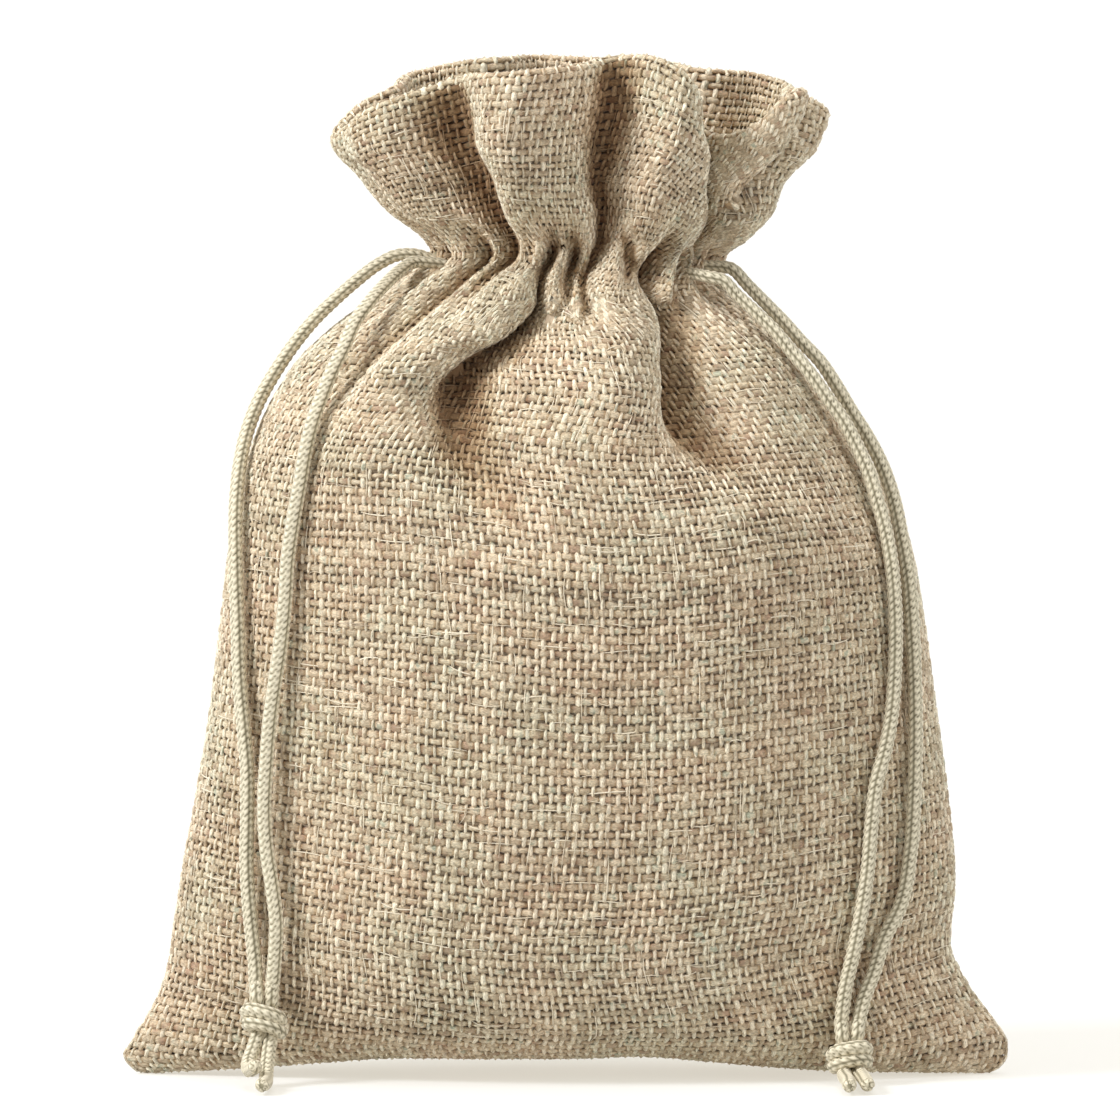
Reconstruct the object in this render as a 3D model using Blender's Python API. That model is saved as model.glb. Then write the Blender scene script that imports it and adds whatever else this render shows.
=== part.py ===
"""A small burlap drawstring pouch, filled and standing upright.

One piece of cloth makes the whole shell: flat base with two pinched corners, bulging body, a neck gathered
by the drawstring, and a ruffle that flares out to an open mouth. Two strands leave the casing at each side,
hang over the shoulder and end in one overhand knot with two short free ends.
Sizes are millimetres and degrees. The front faces -Y, the base stands on z = 0, and an angle round the
shell is 0 at the front and 90 at its +X side.
"""

import math

import bpy
import numpy as np

MM = 0.001

# The cloth shell.
CLOTH = 1.2  # thickness
FOLD_ROOM = 2.2  # how much wider each fold is inside than outside, to either side
NECK = 119.7  # height of the drawstring's line, where the shell is narrowest
STEPS = 4  # columns of faces from one gather to the next

# Heights of the rows of faces from the base to the neck, outside and inside.
OUTSIDE_ROWS = (
    0.0, 0.9, 2.6, 5.0, 8.5, 13, 19, 28, 40, 53, 66, 77, 84, 90, 95, 99.5, 103.5, 107, 110, 112.8, 115.2, 117.5,
)  # fmt: skip
INSIDE_ROWS = (
    1.5, 2.9, 5.0, 8.5, 13, 19, 28, 40, 53, 66, 77, 84, 90, 95, 99.5, 103.5, 107, 110, 113.5, 116.8,
)  # fmt: skip
RUFFLE_ROWS = (0.0, 0.09, 0.19, 0.31, 0.46, 0.63, 0.81, 1.0)  # shares of the way from the neck to the rim

# Level sections of the outside: ellipses, drawn out to points at the sides where `point` is over 1.
SECTION_COLUMNS = ("height", "centre", "half_width", "front", "back", "point")
SECTIONS = (
    (0.0, 0.0, 62.6, 8.0, 13.0, 2.0),
    (0.9, 0.1, 64.2, 11.5, 15.5, 2.0),
    (2.6, 0.0, 65.2, 14.0, 17.2, 1.9),
    (5.0, 0.7, 64.5, 16.6, 18.6, 1.75),
    (8.5, 0.6, 62.2, 18.9, 19.8, 1.55),
    (13.0, 0.1, 59.4, 20.8, 21.0, 1.35),
    (19.0, -0.6, 57.4, 22.4, 22.4, 1.2),
    (28.0, 0.4, 57.0, 24.0, 24.0, 1.1),
    (40.0, 1.0, 55.4, 25.8, 25.8, 1.05),
    (53.0, 1.2, 53.4, 27.8, 27.8, 1.0),
    (66.0, 1.1, 51.7, 29.8, 29.8, 1.0),
    (77.0, 0.8, 50.1, 31.2, 31.2, 1.0),
    (86.0, -0.3, 47.5, 31.4, 31.5, 1.0),
    (93.0, -1.2, 44.4, 30.2, 29.8, 1.0),
    (99.0, -1.6, 41.3, 28.2, 27.6, 1.0),
    (104.5, -1.6, 37.8, 25.6, 24.8, 1.0),
    (109.5, -1.4, 32.9, 22.4, 21.6, 1.0),
    (114.0, -0.9, 27.4, 18.8, 18.2, 1.0),
    (117.3, 0.1, 23.9, 16.0, 15.6, 1.0),
    (119.7, 2.0, 22.4, 14.2, 14.0, 1.0),
    (122.5, 3.0, 24.8, 14.4, 14.4, 1.0),
    (126.0, 2.4, 28.8, 16.0, 16.2, 1.0),
    (131.0, 1.3, 31.8, 18.4, 18.6, 1.0),
    (136.0, 1.4, 36.2, 20.2, 20.4, 1.0),
    (142.0, 2.4, 37.5, 21.6, 21.8, 1.0),
    (149.0, 2.6, 38.0, 22.6, 22.8, 1.0),
)

# Height of the mouth's rim round the ruffle.
RIM_COLUMNS = ("angle", "height")
RIM = (
    (-90.0, 134.9),
    (-72.0, 138.4),
    (-50.0, 142.6),
    (-24.0, 146.2),
    (0.0, 147.4),
    (14.0, 148.8),
    (23.0, 146.8),
    (31.0, 141.5),
    (40.0, 137.0),
    (52.0, 142.6),
    (63.0, 143.6),
    (90.0, 139.8),
    (112.0, 142.4),
    (140.0, 145.4),
    (165.0, 146.8),
    (200.0, 147.6),
    (214.0, 146.2),
    (232.0, 144.2),
    (252.0, 140.0),
    (270.0, 134.9),
)

# The folds, row by row up the cloth: at each height the angle at which a fold's valley lies, its depth, and how
# far its banks reach to the left and to the right. First the front ones.
FOLD_COLUMNS = ("height", "angle", "depth", "left", "right")
FRONT_FOLDS = {
    "left seam gather": (
        (104, -84, 0.0, 3, 3), (113, -84, 0.8, 2.2, 2.2), (119.7, -84, 1.6, 1.5, 1.5), (127, -85, 0.6, 2, 2),
        (149, -86, 0.3, 3, 3),
    ),
    "left ear gather": (
        (100, -68, 0.0, 3, 3), (113, -69, 2.6, 2.6, 2.6), (119.7, -70, 4.6, 1.8, 1.8),
        (128, -71, 1.2, 2.5, 2.5), (149, -72, 1.6, 4, 4),
    ),
    "left shoulder gather": (
        (96, -57, 0.0, 4, 4), (110, -56.5, 0.8, 2.8, 2.8), (119.7, -57, 1.0, 1.7, 1.7),
        (128, -57, 0.6, 2.5, 2.5), (149, -57, 0.8, 3, 3),
    ),
    "left crease": (
        (98, -51, 0.0, 4, 4), (105, -48.5, 2.8, 3.4, 3), (112, -45.5, 4.4, 2.6, 2.4),
        (119.7, -43, 5.4, 1.8, 1.8), (127, -43, 1.6, 2.5, 2.5), (149, -46, 0.6, 3, 3),
    ),
    "ruffle's left valley": (
        (98, -45.5, 0.0, 3, 3), (103, -43, 0.0, 3, 3), (106, -40, 0.0, 3, 3), (110, -36, 0.6, 2.6, 2.6),
        (113, -33, 2.0, 2.2, 2.2), (119.7, -30.5, 6.0, 1.7, 1.7), (124, -28.5, 7.4, 3.2, 1.8),
        (131, -28, 10.0, 7, 3), (138, -31, 10.6, 8, 4), (144, -35, 8.2, 8.5, 5.5), (150, -38.5, 6.0, 8.5, 7),
    ),
    "left neck gap": (
        (98, -40, 0.0, 1.5, 1.5), (103, -37.5, 0.0, 1.5, 1.5), (106, -34.5, 0.0, 1.5, 1.5),
        (110, -27, 0.0, 1.5, 1.5), (113, -23, 0.0, 1.5, 1.5), (117, -21.5, 1.4, 1.2, 1.2),
        (121.5, -20.5, 2.6, 1.2, 1.2), (125, -20, 1.2, 1.5, 1.5), (130, -19, 0.4, 2, 2), (149, -19, 0.2, 3, 3),
    ),
    "left shoulder fold": (
        (76, -8, 0.0, 9, 14), (82, -10, 2.0, 7, 13), (88, -15, 4.4, 5.5, 12), (94, -22, 7.0, 4.2, 12),
        (99, -28, 9.0, 3.6, 12.5), (103, -31, 10.8, 3.2, 13), (106, -28.5, 11.4, 2.6, 12),
        (110, -18.5, 10.8, 2.2, 9.5), (113.8, -11.8, 8.8, 1.7, 5.4), (116.6, -11.4, 7.2, 1.4, 2.8),
        (119.7, -12.5, 6.8, 1.4, 1.4), (124, -12, 3.0, 1.6, 1.6), (130, -12, 0.4, 3, 3), (149, -12, 0.0, 3, 3),
    ),
    "middle gap": (
        (113, 4, 0.0, 1.5, 1.5), (116, 2, 5.6, 1.3, 1.3), (119.7, -2, 7.2, 1.3, 1.3), (123, -5, 4.0, 1.4, 1.4),
        (127, -6, 0.8, 2.5, 2.5), (149, -5, 0.3, 3, 3),
    ),
    "ruffle's middle valley": (
        (110, 10, 0.0, 1.6, 1.6), (113.8, 9.6, 4.6, 1.3, 1.3), (119.7, 6, 6.8, 1.3, 1.4),
        (123.5, 5.5, 7.6, 1.8, 2), (128, 7, 9.6, 3.2, 3.6), (136, 7, 12.0, 5.2, 5.6), (149, 8, 13.0, 6.2, 7.5),
    ),
    "right crease": (
        (99, 14, 0.0, 1.6, 1.6), (104, 15, 0.0, 1.6, 1.6), (109, 18.5, 0.0, 1.6, 1.6), (114, 24, 0.0, 1.6, 1.6),
        (118, 22.5, 3.4, 1.2, 1.2), (121, 17.5, 4.2, 1.2, 1.2), (125, 12.5, 1.8, 1.3, 1.3),
        (129, 14, 0.3, 2, 2), (149, 18, 0.0, 3, 3),
    ),
    "right shoulder fold": (
        (80, 50, 0.0, 9, 12), (84, 45, 0.6, 9, 12), (88, 37, 2.2, 7, 11), (91.5, 30, 4.6, 5, 10),
        (95, 25.5, 7.4, 4, 9.5), (99, 22.5, 10.2, 3, 9.5), (104, 21.5, 12.0, 2.4, 9),
        (108.7, 24.5, 12.0, 2, 7.4), (112.6, 28.5, 9.8, 1.7, 4.8), (116, 30, 7.4, 1.4, 2.6),
        (119.2, 29.5, 7.0, 1.3, 1.6), (122.5, 30, 3.4, 1.4, 1.5), (127, 28, 0.6, 2, 2), (149, 24, 0.0, 3, 3),
    ),
    "right neck gather": (
        (86, 58, 0.0, 3, 3), (95, 50, 0.0, 3, 3), (104, 45, 0.0, 3, 3), (112, 44, 2.2, 2.2, 2.4),
        (119.7, 44, 3.8, 1.4, 1.4), (124, 39, 1.4, 1.6, 1.6), (130, 33, 0.5, 2.5, 2.5), (149, 27, 0.4, 3, 3),
    ),
    "mouth's right valley": (
        (86, 67, 0.0, 3, 3), (108, 60, 0.0, 3, 3), (115, 59, 2.8, 2, 2), (119.7, 58, 5.6, 1.5, 1.8),
        (122, 50, 7.6, 1.5, 2.2), (125, 45, 8.6, 1.6, 2.4), (127.5, 42, 9.5, 1.8, 3), (132, 38, 11.5, 2, 4),
        (136, 34, 13.0, 2.4, 4.8), (139.5, 32, 13.5, 2.6, 5.4), (149, 32, 13.5, 3, 6),
    ),
    "right lobe's crease": (
        (112, 74, 0.0, 3.0, 3.0), (119.7, 72, 3.4, 1.6, 1.6), (122, 62, 2.8, 1.5, 1.5),
        (125, 53, 3.0, 1.4, 1.6), (129, 55.5, 4.0, 1.5, 2.8), (133.5, 58, 4.6, 1.8, 3.8),
        (141, 66, 4.4, 2.2, 4.4), (149, 69, 4.0, 2.5, 4.6),
    ),
}

# The back ones are plainer: one row for each, with its angle and depth at the shoulder, the neck and the rim.
BACK_COLUMNS = (
    "shoulder_angle", "neck_angle", "rim_angle", "shoulder_depth", "neck_depth", "rim_depth", "width",
)  # fmt: skip
BACK_FOLDS = (
    (90, 88, 89, 0.6, 2.8, 0.4, 3.0),
    (110, 108, 110, 0.6, 3.6, 5.0, 4.0),
    (128, 126, 127, 3.4, 3.2, 0.6, 5.0),
    (144, 146, 148, 0.6, 3.8, 6.6, 4.6),
    (163, 162, 166, 0.8, 3.0, 0.8, 3.0),
    (182, 181, 183, 4.6, 3.8, 0.8, 6.0),
    (200, 201, 203, 0.6, 3.2, 6.8, 4.8),
    (219, 217, 219, 0.8, 3.6, 0.6, 3.0),
    (236, 237, 238, 3.8, 3.2, 5.2, 5.0),
    (256, 255, 256, 0.6, 3.4, 0.8, 3.0),
)

# Single swells of the cloth, and hollows where `out` is under 0: where each lies, how far it reaches to the
# sides and up and down, and how far it moves the cloth out and down.
SWELL_COLUMNS = ("angle", "height", "wide", "tall", "out", "down")
SWELLS = (
    (-38, 95, 6.0, 9.0, 2.6, 0.0),
    (-37, 105, 4.6, 5.0, 3.2, 1.0),
    (-25, 110.5, 3.2, 3.4, 2.8, 1.2),
    (-17, 116, 1.8, 2.8, 2.0, 0.6),
    (-3, 115.2, 1.8, 2.4, 3.2, 2.4),
    (6.5, 114.8, 1.5, 2.4, 3.2, 2.4),
    (18, 115, 3.4, 4.5, 1.4, 0.6),
    (37, 117, 2.4, 3.2, 2.6, 2.2),
    (13, 104, 4.5, 9.0, 3.6, 0.0),
    (52, 104, 6.0, 7.0, 1.0, 0.0),
    (49, 136, 3.5, 8.0, 1.2, 0.0),
    (-17, 138, 5.0, 12.0, 2.2, 0.0),
    (0, 142, 5.0, 9.0, -1.6, 0.0),
    (-54, 134, 6.0, 8.0, 1.8, 0.0),
    (23, 134, 4.0, 10.0, 1.6, 0.0),
    (-20, 74, 11.0, 12.0, -0.7, 0.0),
    (16, 58, 14.0, 7.0, -0.6, 0.0),
    (34, 80, 9.0, 9.0, 0.8, 0.0),
    (-17, 36, 15.0, 28.0, 1.5, 0.0),
    (-42, 40, 9.0, 26.0, -0.9, 0.0),
    (26, 62, 11.0, 24.0, 1.0, 0.0),
    (8, 30, 16.0, 6.0, -0.5, 0.0),
    (170, 60, 14.0, 10.0, -0.7, 0.0),
)
VALLEY_GAP = 2.5  # least angle between the columns of faces along two neighbouring valleys

# The drawstrings: braided round cord, four strands from the casing to the knots. Route points (x, y, z) of
# each strand's middle, from where it leaves the casing to the top of its knot.
CORD = 2.2  # diameter
CORD_STEP = 5.2  # distance between the points of a strand's curve
STRANDS = {
    "cord_left_outer": (
        (-22.1, 0.5, 120.0), (-24.4, 0.5, 119.9), (-27.2, 0.4, 118.6), (-30.4, 0.2, 116.2), (-33.6, 0.0, 113.4),
        (-36.4, -0.2, 110.7), (-39.1, -0.5, 107.5), (-41.9, -1.2, 103.5), (-44.5, -2.4, 99.0),
        (-46.3, -4.3, 94.4), (-47.3, -6.7, 89.8), (-47.8, -9.2, 84.6), (-47.8, -11.8, 76.0),
        (-47.5, -13.1, 67.3), (-47.2, -14.0, 58.6), (-46.6, -15.0, 52.0), (-46.1, -15.5, 46.0),
        (-46.1, -15.5, 38.7), (-46.2, -15.3, 32.4), (-45.9, -15.2, 26.6), (-45.4, -15.0, 21.4),
        (-45.0, -14.8, 17.4), (-44.9, -14.8, 14.4),
    ),
    "cord_left_inner": (
        (-22.3, -3.0, 119.0), (-23.8, -4.6, 118.1), (-25.9, -8.0, 116.3), (-28.1, -11.6, 114.0),
        (-30.4, -14.2, 111.0), (-32.0, -16.2, 107.4), (-33.8, -17.7, 103.8), (-35.2, -18.6, 100.3),
        (-36.5, -19.7, 96.7), (-37.5, -20.2, 92.6), (-38.3, -20.5, 87.9), (-39.1, -20.5, 83.5),
        (-40.1, -20.2, 77.0), (-40.5, -19.9, 70.7), (-41.1, -19.3, 64.9), (-42.0, -18.7, 59.0),
        (-42.8, -18.1, 53.1), (-43.3, -17.6, 47.0), (-43.6, -17.3, 40.0), (-43.2, -17.2, 34.0),
        (-42.4, -17.2, 28.6), (-41.9, -17.0, 23.8), (-42.1, -16.2, 19.0), (-42.5, -15.6, 14.4),
    ),
    "cord_right_outer": (
        (24.2, -5.0, 118.2), (26.5, -5.4, 115.9), (29.4, -6.4, 113.0), (31.5, -7.2, 110.9), (34.1, -7.9, 108.0),
        (37.2, -8.2, 104.7), (39.4, -8.4, 101.4), (41.7, -8.5, 97.5), (43.8, -8.8, 94.2), (46.2, -9.4, 89.5),
        (47.7, -10.0, 85.1), (48.8, -10.7, 80.0), (49.9, -11.4, 73.6), (50.4, -11.9, 67.2), (50.9, -12.5, 55.6),
        (50.9, -13.0, 48.0), (50.7, -13.2, 41.1), (50.2, -13.3, 33.8), (48.9, -13.6, 26.5), (46.2, -14.1, 20.7),
        (44.9, -14.3, 16.4), (43.4, -14.5, 12.4), (42.6, -14.6, 8.8),
    ),
    "cord_right_inner": (
        (20.9, -10.9, 117.3), (22.7, -10.9, 116.9), (24.9, -10.6, 114.7), (27.6, -10.9, 112.2),
        (30.6, -11.5, 109.3), (33.0, -11.8, 106.3), (35.6, -12.2, 103.3), (38.2, -12.2, 99.6),
        (40.2, -12.2, 96.8), (42.3, -12.3, 92.9), (44.0, -12.8, 89.1), (45.3, -13.4, 84.9), (46.6, -13.9, 80.0),
        (47.4, -14.6, 75.2), (47.8, -15.0, 70.4), (47.8, -15.5, 60.0), (47.3, -16.2, 53.8), (46.4, -16.9, 49.0),
        (45.2, -17.4, 44.6), (44.4, -17.3, 38.0), (43.9, -17.0, 31.6), (43.1, -16.8, 26.0), (41.9, -16.2, 19.6),
        (40.7, -15.5, 14.0), (40.1, -14.8, 8.8),
    ),
}  # fmt: skip

# A knot's two strands, in cord diameters to the side, to the front and up from its middle.
KNOT_STRANDS = (
    (
        (-0.5, 0.1, 1.2), (-0.2, -0.5, 0.3), (0.5, -0.9, -0.2), (1.1, -0.2, 0.0), (0.9, 0.7, 0.35), (0.0, 1.1, 0.5),
        (-0.9, 0.7, 0.45), (-1.2, -0.1, 0.1), (-0.6, -0.6, -0.4), (-0.4, 0.1, -1.0),
    ),
    (
        (0.5, 0.0, 1.2), (0.3, -0.5, 0.2), (0.7, -0.8, -0.6), (1.15, -0.1, -0.75), (0.8, 0.75, -0.45),
        (0.0, 1.05, -0.35), (-0.85, 0.7, -0.45), (-1.05, -0.2, -0.7), (-0.2, -0.6, -0.8), (0.4, 0.1, -1.1),
    ),
)  # fmt: skip
# Each knot's middle, its tightness (its size as a share of the loose one), how far its right side is raised
# over its left (the slope of its turns), and its two free ends.
KNOTS = {
    "knot_left": {
        "middle": (-43.7, -15.4, 9.8),
        "tightness": 0.95,
        "tilt": -0.22,
        "strands": ("cord_left_outer", "cord_left_inner"),
        "ends": (
            ((-45.2, -16.8, 5.6), (-45.9, -18.2, 3.7), (-45.8, -20.6, 2.8), (-45.2, -23.4, 3.3), (-44.6, -26.2, 4.0)),
            ((-43.0, -17.0, 5.2), (-43.2, -18.6, 3.2), (-43.3, -21.0, 1.7), (-43.3, -25.2, 1.5), (-43.8, -30.4, 1.5)),
        ),
    },
    "knot_right": {
        "middle": (41.4, -15.2, 4.5),
        "tightness": 0.95,
        "tilt": 0.22,
        "strands": ("cord_right_inner", "cord_right_outer"),
        "ends": (
            ((40.5, -17.6, 1.8), (40.7, -20.0, 1.5), (41.0, -24.6, 1.5), (41.0, -30.8, 1.5)),
            ((42.9, -17.6, 1.8), (43.3, -20.0, 1.5), (43.5, -24.6, 1.5), (43.7, -29.6, 1.5)),
        ),
    },
}
JOIN = 0.6  # gap between a strand's end and its knot
KNOT_GRAIN = 0.5  # size of the knots' finest form
KNOT_SHARE = 0.45  # share of a knot's faces that is kept


def column(table, columns, name):
    """One named column of a table."""
    return np.array([row[columns.index(name)] for row in table], dtype=float)


def smooth(x, xs, ys):
    """Smooth curve through the points (xs, ys) that doesn't overshoot them, read at x."""
    run = np.diff(xs)
    slope = np.diff(ys) / run
    tangent = np.concatenate(([slope[0]], np.zeros(len(xs) - 2), [slope[-1]]))
    for i in range(1, len(xs) - 1):
        if slope[i - 1] * slope[i] > 0:
            tangent[i] = 2 * slope[i - 1] * slope[i] / (slope[i - 1] + slope[i])
    x = np.clip(x, xs[0], xs[-1])
    i = np.clip(np.searchsorted(xs, x, side="right") - 1, 0, len(run) - 1)
    t = (x - xs[i]) / run[i]
    start = (1 + 2 * t) * (1 - t) ** 2 * ys[i] + t * (1 - t) ** 2 * run[i] * tangent[i]
    end = t**2 * (3 - 2 * t) * ys[i + 1] + t**2 * (t - 1) * run[i] * tangent[i + 1]
    return start + end


def section(height, name):
    heights = column(SECTIONS, SECTION_COLUMNS, "height")
    return smooth(height, heights, column(SECTIONS, SECTION_COLUMNS, name))


def back_fold(shoulder_angle, neck_angle, rim_angle, shoulder_depth, neck_depth, rim_depth, width):
    """The rows of a plain fold at the back."""
    return (
        (82, shoulder_angle, 0.0, width, width),
        (101, shoulder_angle, shoulder_depth, width, width),
        (112, neck_angle, 0.4 * neck_depth + 0.3 * shoulder_depth, 2.4, 2.4),
        (NECK, neck_angle, neck_depth, 1.5, 1.5),
        (127, neck_angle, 0.4 * neck_depth + 0.3 * rim_depth, 2.4, 2.4),
        (136, rim_angle, 0.8 * rim_depth, width, width),
        (149, rim_angle, rim_depth, width, width),
    )


FOLDS = (*FRONT_FOLDS.values(), *(back_fold(**dict(zip(BACK_COLUMNS, row))) for row in BACK_FOLDS))


def fold_at(fold, height, name):
    """One value of a fold, read at these heights."""
    return smooth(height, column(fold, FOLD_COLUMNS, "height"), column(fold, FOLD_COLUMNS, name))


def column_angles(gather, share, height):
    """Angle of each column of points at its height: its share of the way from one fold's valley to the next."""
    apart = VALLEY_GAP * np.arange(len(FOLDS))[:, None]
    valleys = np.array([fold_at(fold, height, "angle") for fold in FOLDS]) - apart
    rising = np.maximum.accumulate(valleys, axis=0)
    falling = np.minimum.accumulate(valleys[::-1], axis=0)[::-1]
    valleys = (rising + falling) / 2 + apart
    valleys = np.concatenate((valleys, valleys[:1] + 360))
    here = np.arange(len(gather))
    return valleys[gather, here] * (1 - share) + valleys[gather + 1, here] * share


def sink(angle, height, speed, room):
    """How far the folds sink the cloth in, where `room` widens each of them to both sides."""
    depth = np.zeros(len(angle))
    for fold in FOLDS:
        distance = np.radians((angle - fold_at(fold, height, "angle") + 180) % 360 - 180) * speed
        width = np.where(distance < 0, fold_at(fold, height, "left"), fold_at(fold, height, "right"))
        depth += fold_at(fold, height, "depth") * np.exp(-((distance / (width + room)) ** 2))
    return depth


def swell(angle, height, speed):
    """How far the swells move the cloth out and down."""
    out, down = np.zeros(len(angle)), np.zeros(len(angle))
    for row in SWELLS:
        lump = dict(zip(SWELL_COLUMNS, row))
        distance = np.radians((angle - lump["angle"] + 180) % 360 - 180) * speed
        share = np.exp(-((distance / lump["wide"]) ** 2) - ((height - lump["height"]) / lump["tall"]) ** 2)
        out += lump["out"] * share
        down += lump["down"] * share
    return out, down


def shell_points(gather, share, height, wall):
    """Points of the shell's outside (wall 0) or inside (wall CLOTH), one for each column, at given heights."""
    angle = column_angles(gather, share, height)
    a = np.radians(angle)
    point = section(height, "point")
    facing_front = np.cos(a) > 0
    front, back, half_width = (section(height, n) for n in ("front", "back", "half_width"))
    deep = np.where(facing_front, front, back)
    step = 0.5
    lean = np.abs(section(height + step, "front") - section(height - step, "front")) / (2 * step)
    slant = np.minimum(np.sqrt(1 + lean**2), 2.2)
    deep_here = deep - wall * slant
    wide_here = half_width - wall * slant * (2 * point - 1)
    speed = np.sqrt((half_width * np.cos(a)) ** 2 + (deep * np.sin(a)) ** 2)
    x = wide_here * np.sin(a)
    y = -deep_here * np.sign(np.cos(a)) * np.abs(np.cos(a)) ** point
    inward = np.stack((-np.sin(a) / half_width, np.cos(a) / deep))
    inward /= np.linalg.norm(inward, axis=0)
    out, down = swell(angle, height, speed)
    depth = sink(angle, height, speed, FOLD_ROOM if wall else 0.0) - out
    x = section(height, "centre") + x + inward[0] * depth
    return np.stack((x, y + inward[1] * depth, height - down), axis=1)


def shell_rows(gather, share, body_rows, wall):
    """The rows of points of one side of the cloth, from the base or the hollow's floor up to the rim."""
    rows = [shell_points(gather, share, np.full(len(gather), float(h)), wall) for h in body_rows]
    rim_angles, rim_heights = column(RIM, RIM_COLUMNS, "angle"), column(RIM, RIM_COLUMNS, "height")
    rim = np.full(len(gather), 143.0)
    for _ in range(3):  # a column's angle depends on its height
        rim = smooth((column_angles(gather, share, rim) + 90) % 360 - 90, rim_angles, rim_heights)
    for part in RUFFLE_ROWS:
        rows.append(shell_points(gather, share, NECK + part * (rim - NECK), wall))
    return rows


def new_material(name, colour, roughness):
    material = bpy.data.materials.new(name)
    material.use_nodes = True
    shader = material.node_tree.nodes["Principled BSDF"]
    shader.inputs["Base Color"].default_value = (*colour, 1.0)
    shader.inputs["Roughness"].default_value = roughness
    shader.inputs["Metallic"].default_value = 0.0
    return material


def new_object(name, data, material):
    thing = bpy.data.objects.new(name, data)
    bpy.context.scene.collection.objects.link(thing)
    data.materials.append(material)
    return thing


def make_sack(material):
    """The shell: outside and inside rows joined over the rim, closed under the base and over the floor."""
    gather = np.repeat(np.arange(len(FOLDS)), STEPS)
    share = np.tile(np.arange(STEPS) / STEPS, len(FOLDS))
    outside = shell_rows(gather, share, OUTSIDE_ROWS, 0.0)
    inside = shell_rows(gather, share, INSIDE_ROWS, CLOTH)
    rows = outside + inside[::-1]
    around = len(gather)
    faces = [tuple(reversed(range(around)))]
    for low in range(len(rows) - 1):
        for i in range(around):
            j = (i + 1) % around
            faces.append((low * around + i, low * around + j, (low + 1) * around + j, (low + 1) * around + i))
    faces.append(tuple(range((len(rows) - 1) * around, len(rows) * around)))
    mesh = bpy.data.meshes.new("sack")
    mesh.from_pydata((np.concatenate(rows) * MM).tolist(), [], faces)
    mesh.validate()
    mesh.shade_smooth()
    mesh.set_sharp_from_angle(angle=math.radians(60))
    return new_object("sack", mesh, material)


def smooth_route(points, spacing):
    """Evenly spaced points along the smooth curve through a route's points."""
    points = np.array(points, dtype=float)
    along = np.concatenate(([0.0], np.cumsum(np.linalg.norm(np.diff(points, axis=0), axis=1))))
    tangents = np.gradient(points, along, axis=0)
    fine = np.linspace(0, along[-1], 40 * len(points))
    i = np.clip(np.searchsorted(along, fine, side="right") - 1, 0, len(along) - 2)
    run = (along[i + 1] - along[i])[:, None]
    t = (fine - along[i])[:, None] / run
    start = (1 + 2 * t) * (1 - t) ** 2 * points[i] + t * (1 - t) ** 2 * run * tangents[i]
    curve = start + t**2 * (3 - 2 * t) * points[i + 1] + t**2 * (t - 1) * run * tangents[i + 1]
    length = np.concatenate(([0.0], np.cumsum(np.linalg.norm(np.diff(curve, axis=0), axis=1))))
    count = max(2, round(length[-1] / spacing) + 1)
    even = np.linspace(0, length[-1], count)
    return np.stack([np.interp(even, length, curve[:, k]) for k in range(3)], axis=1)


def new_cord_curve(name, routes, spacing):
    """A curve of round cord with one open run along each route."""
    curve = bpy.data.curves.new(name, "CURVE")
    curve.dimensions = "3D"
    curve.bevel_depth = CORD / 2 * MM
    curve.bevel_resolution = 2
    curve.use_fill_caps = True
    for route in routes:
        points = smooth_route(route, spacing) * MM
        spline = curve.splines.new("POLY")
        spline.points.add(len(points) - 1)
        for point, place in zip(spline.points, points):
            point.co = (*place, 1.0)
    return curve


def make_strand(name, material):
    return new_object(name, new_cord_curve(name, [STRANDS[name]], CORD_STEP), material)


def knot_routes(knot):
    """The two routes inside a knot: from under its strand's end, round the knot and out along a free end."""
    routes = []
    for strand, turns, end in zip(knot["strands"], KNOT_STRANDS, knot["ends"]):
        top = np.array(STRANDS[strand][-1]) - np.array((0, 0, JOIN))
        size = CORD * knot["tightness"]
        middle = np.array(knot["middle"])
        tilt = knot["tilt"]
        inside = [tuple(middle + size * np.array((side, -front, up + tilt * side))) for side, front, up in turns]
        routes.append([tuple(top), *inside, *end])
    return routes


def make_knot(name, material):
    """The knot and its free ends, whose strands are merged into one closed skin."""
    runs = bpy.data.objects.new(name + "_runs", new_cord_curve(name, knot_routes(KNOTS[name]), CORD / 3))
    bpy.context.scene.collection.objects.link(runs)
    evaluated = runs.evaluated_get(bpy.context.evaluated_depsgraph_get())
    mesh = bpy.data.meshes.new_from_object(evaluated)
    mesh.name = name
    bpy.data.objects.remove(runs, do_unlink=True)
    mesh.materials.clear()
    knot = new_object(name, mesh, material)
    skin = knot.modifiers.new("skin", "REMESH")
    skin.mode = "VOXEL"
    skin.voxel_size = KNOT_GRAIN * MM
    fewer = knot.modifiers.new("fewer faces", "DECIMATE")
    fewer.ratio = KNOT_SHARE
    return knot


for old in list(bpy.data.objects):
    bpy.data.objects.remove(old, do_unlink=True)

make_sack(new_material("burlap", (0.55, 0.46, 0.34), 0.9))
cord_material = new_material("cord", (0.62, 0.60, 0.47), 0.7)
for strand_name in STRANDS:
    make_strand(strand_name, cord_material)
for knot_name in KNOTS:
    make_knot(knot_name, cord_material)
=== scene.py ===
"""A small burlap drawstring pouch, filled and standing upright: woven cloth yarn by yarn, and braided cords.

Sizes are millimetres and degrees. The front faces -Y, the base stands on z = 0, and an angle round the
pouch is 0 at the front and 90 at its +X side. A place on the cloth is counted in threads: u warp ends round
from the left side seam, and v weft picks up from the fold under the base, over the rim and down inside.
"""

import math

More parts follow.
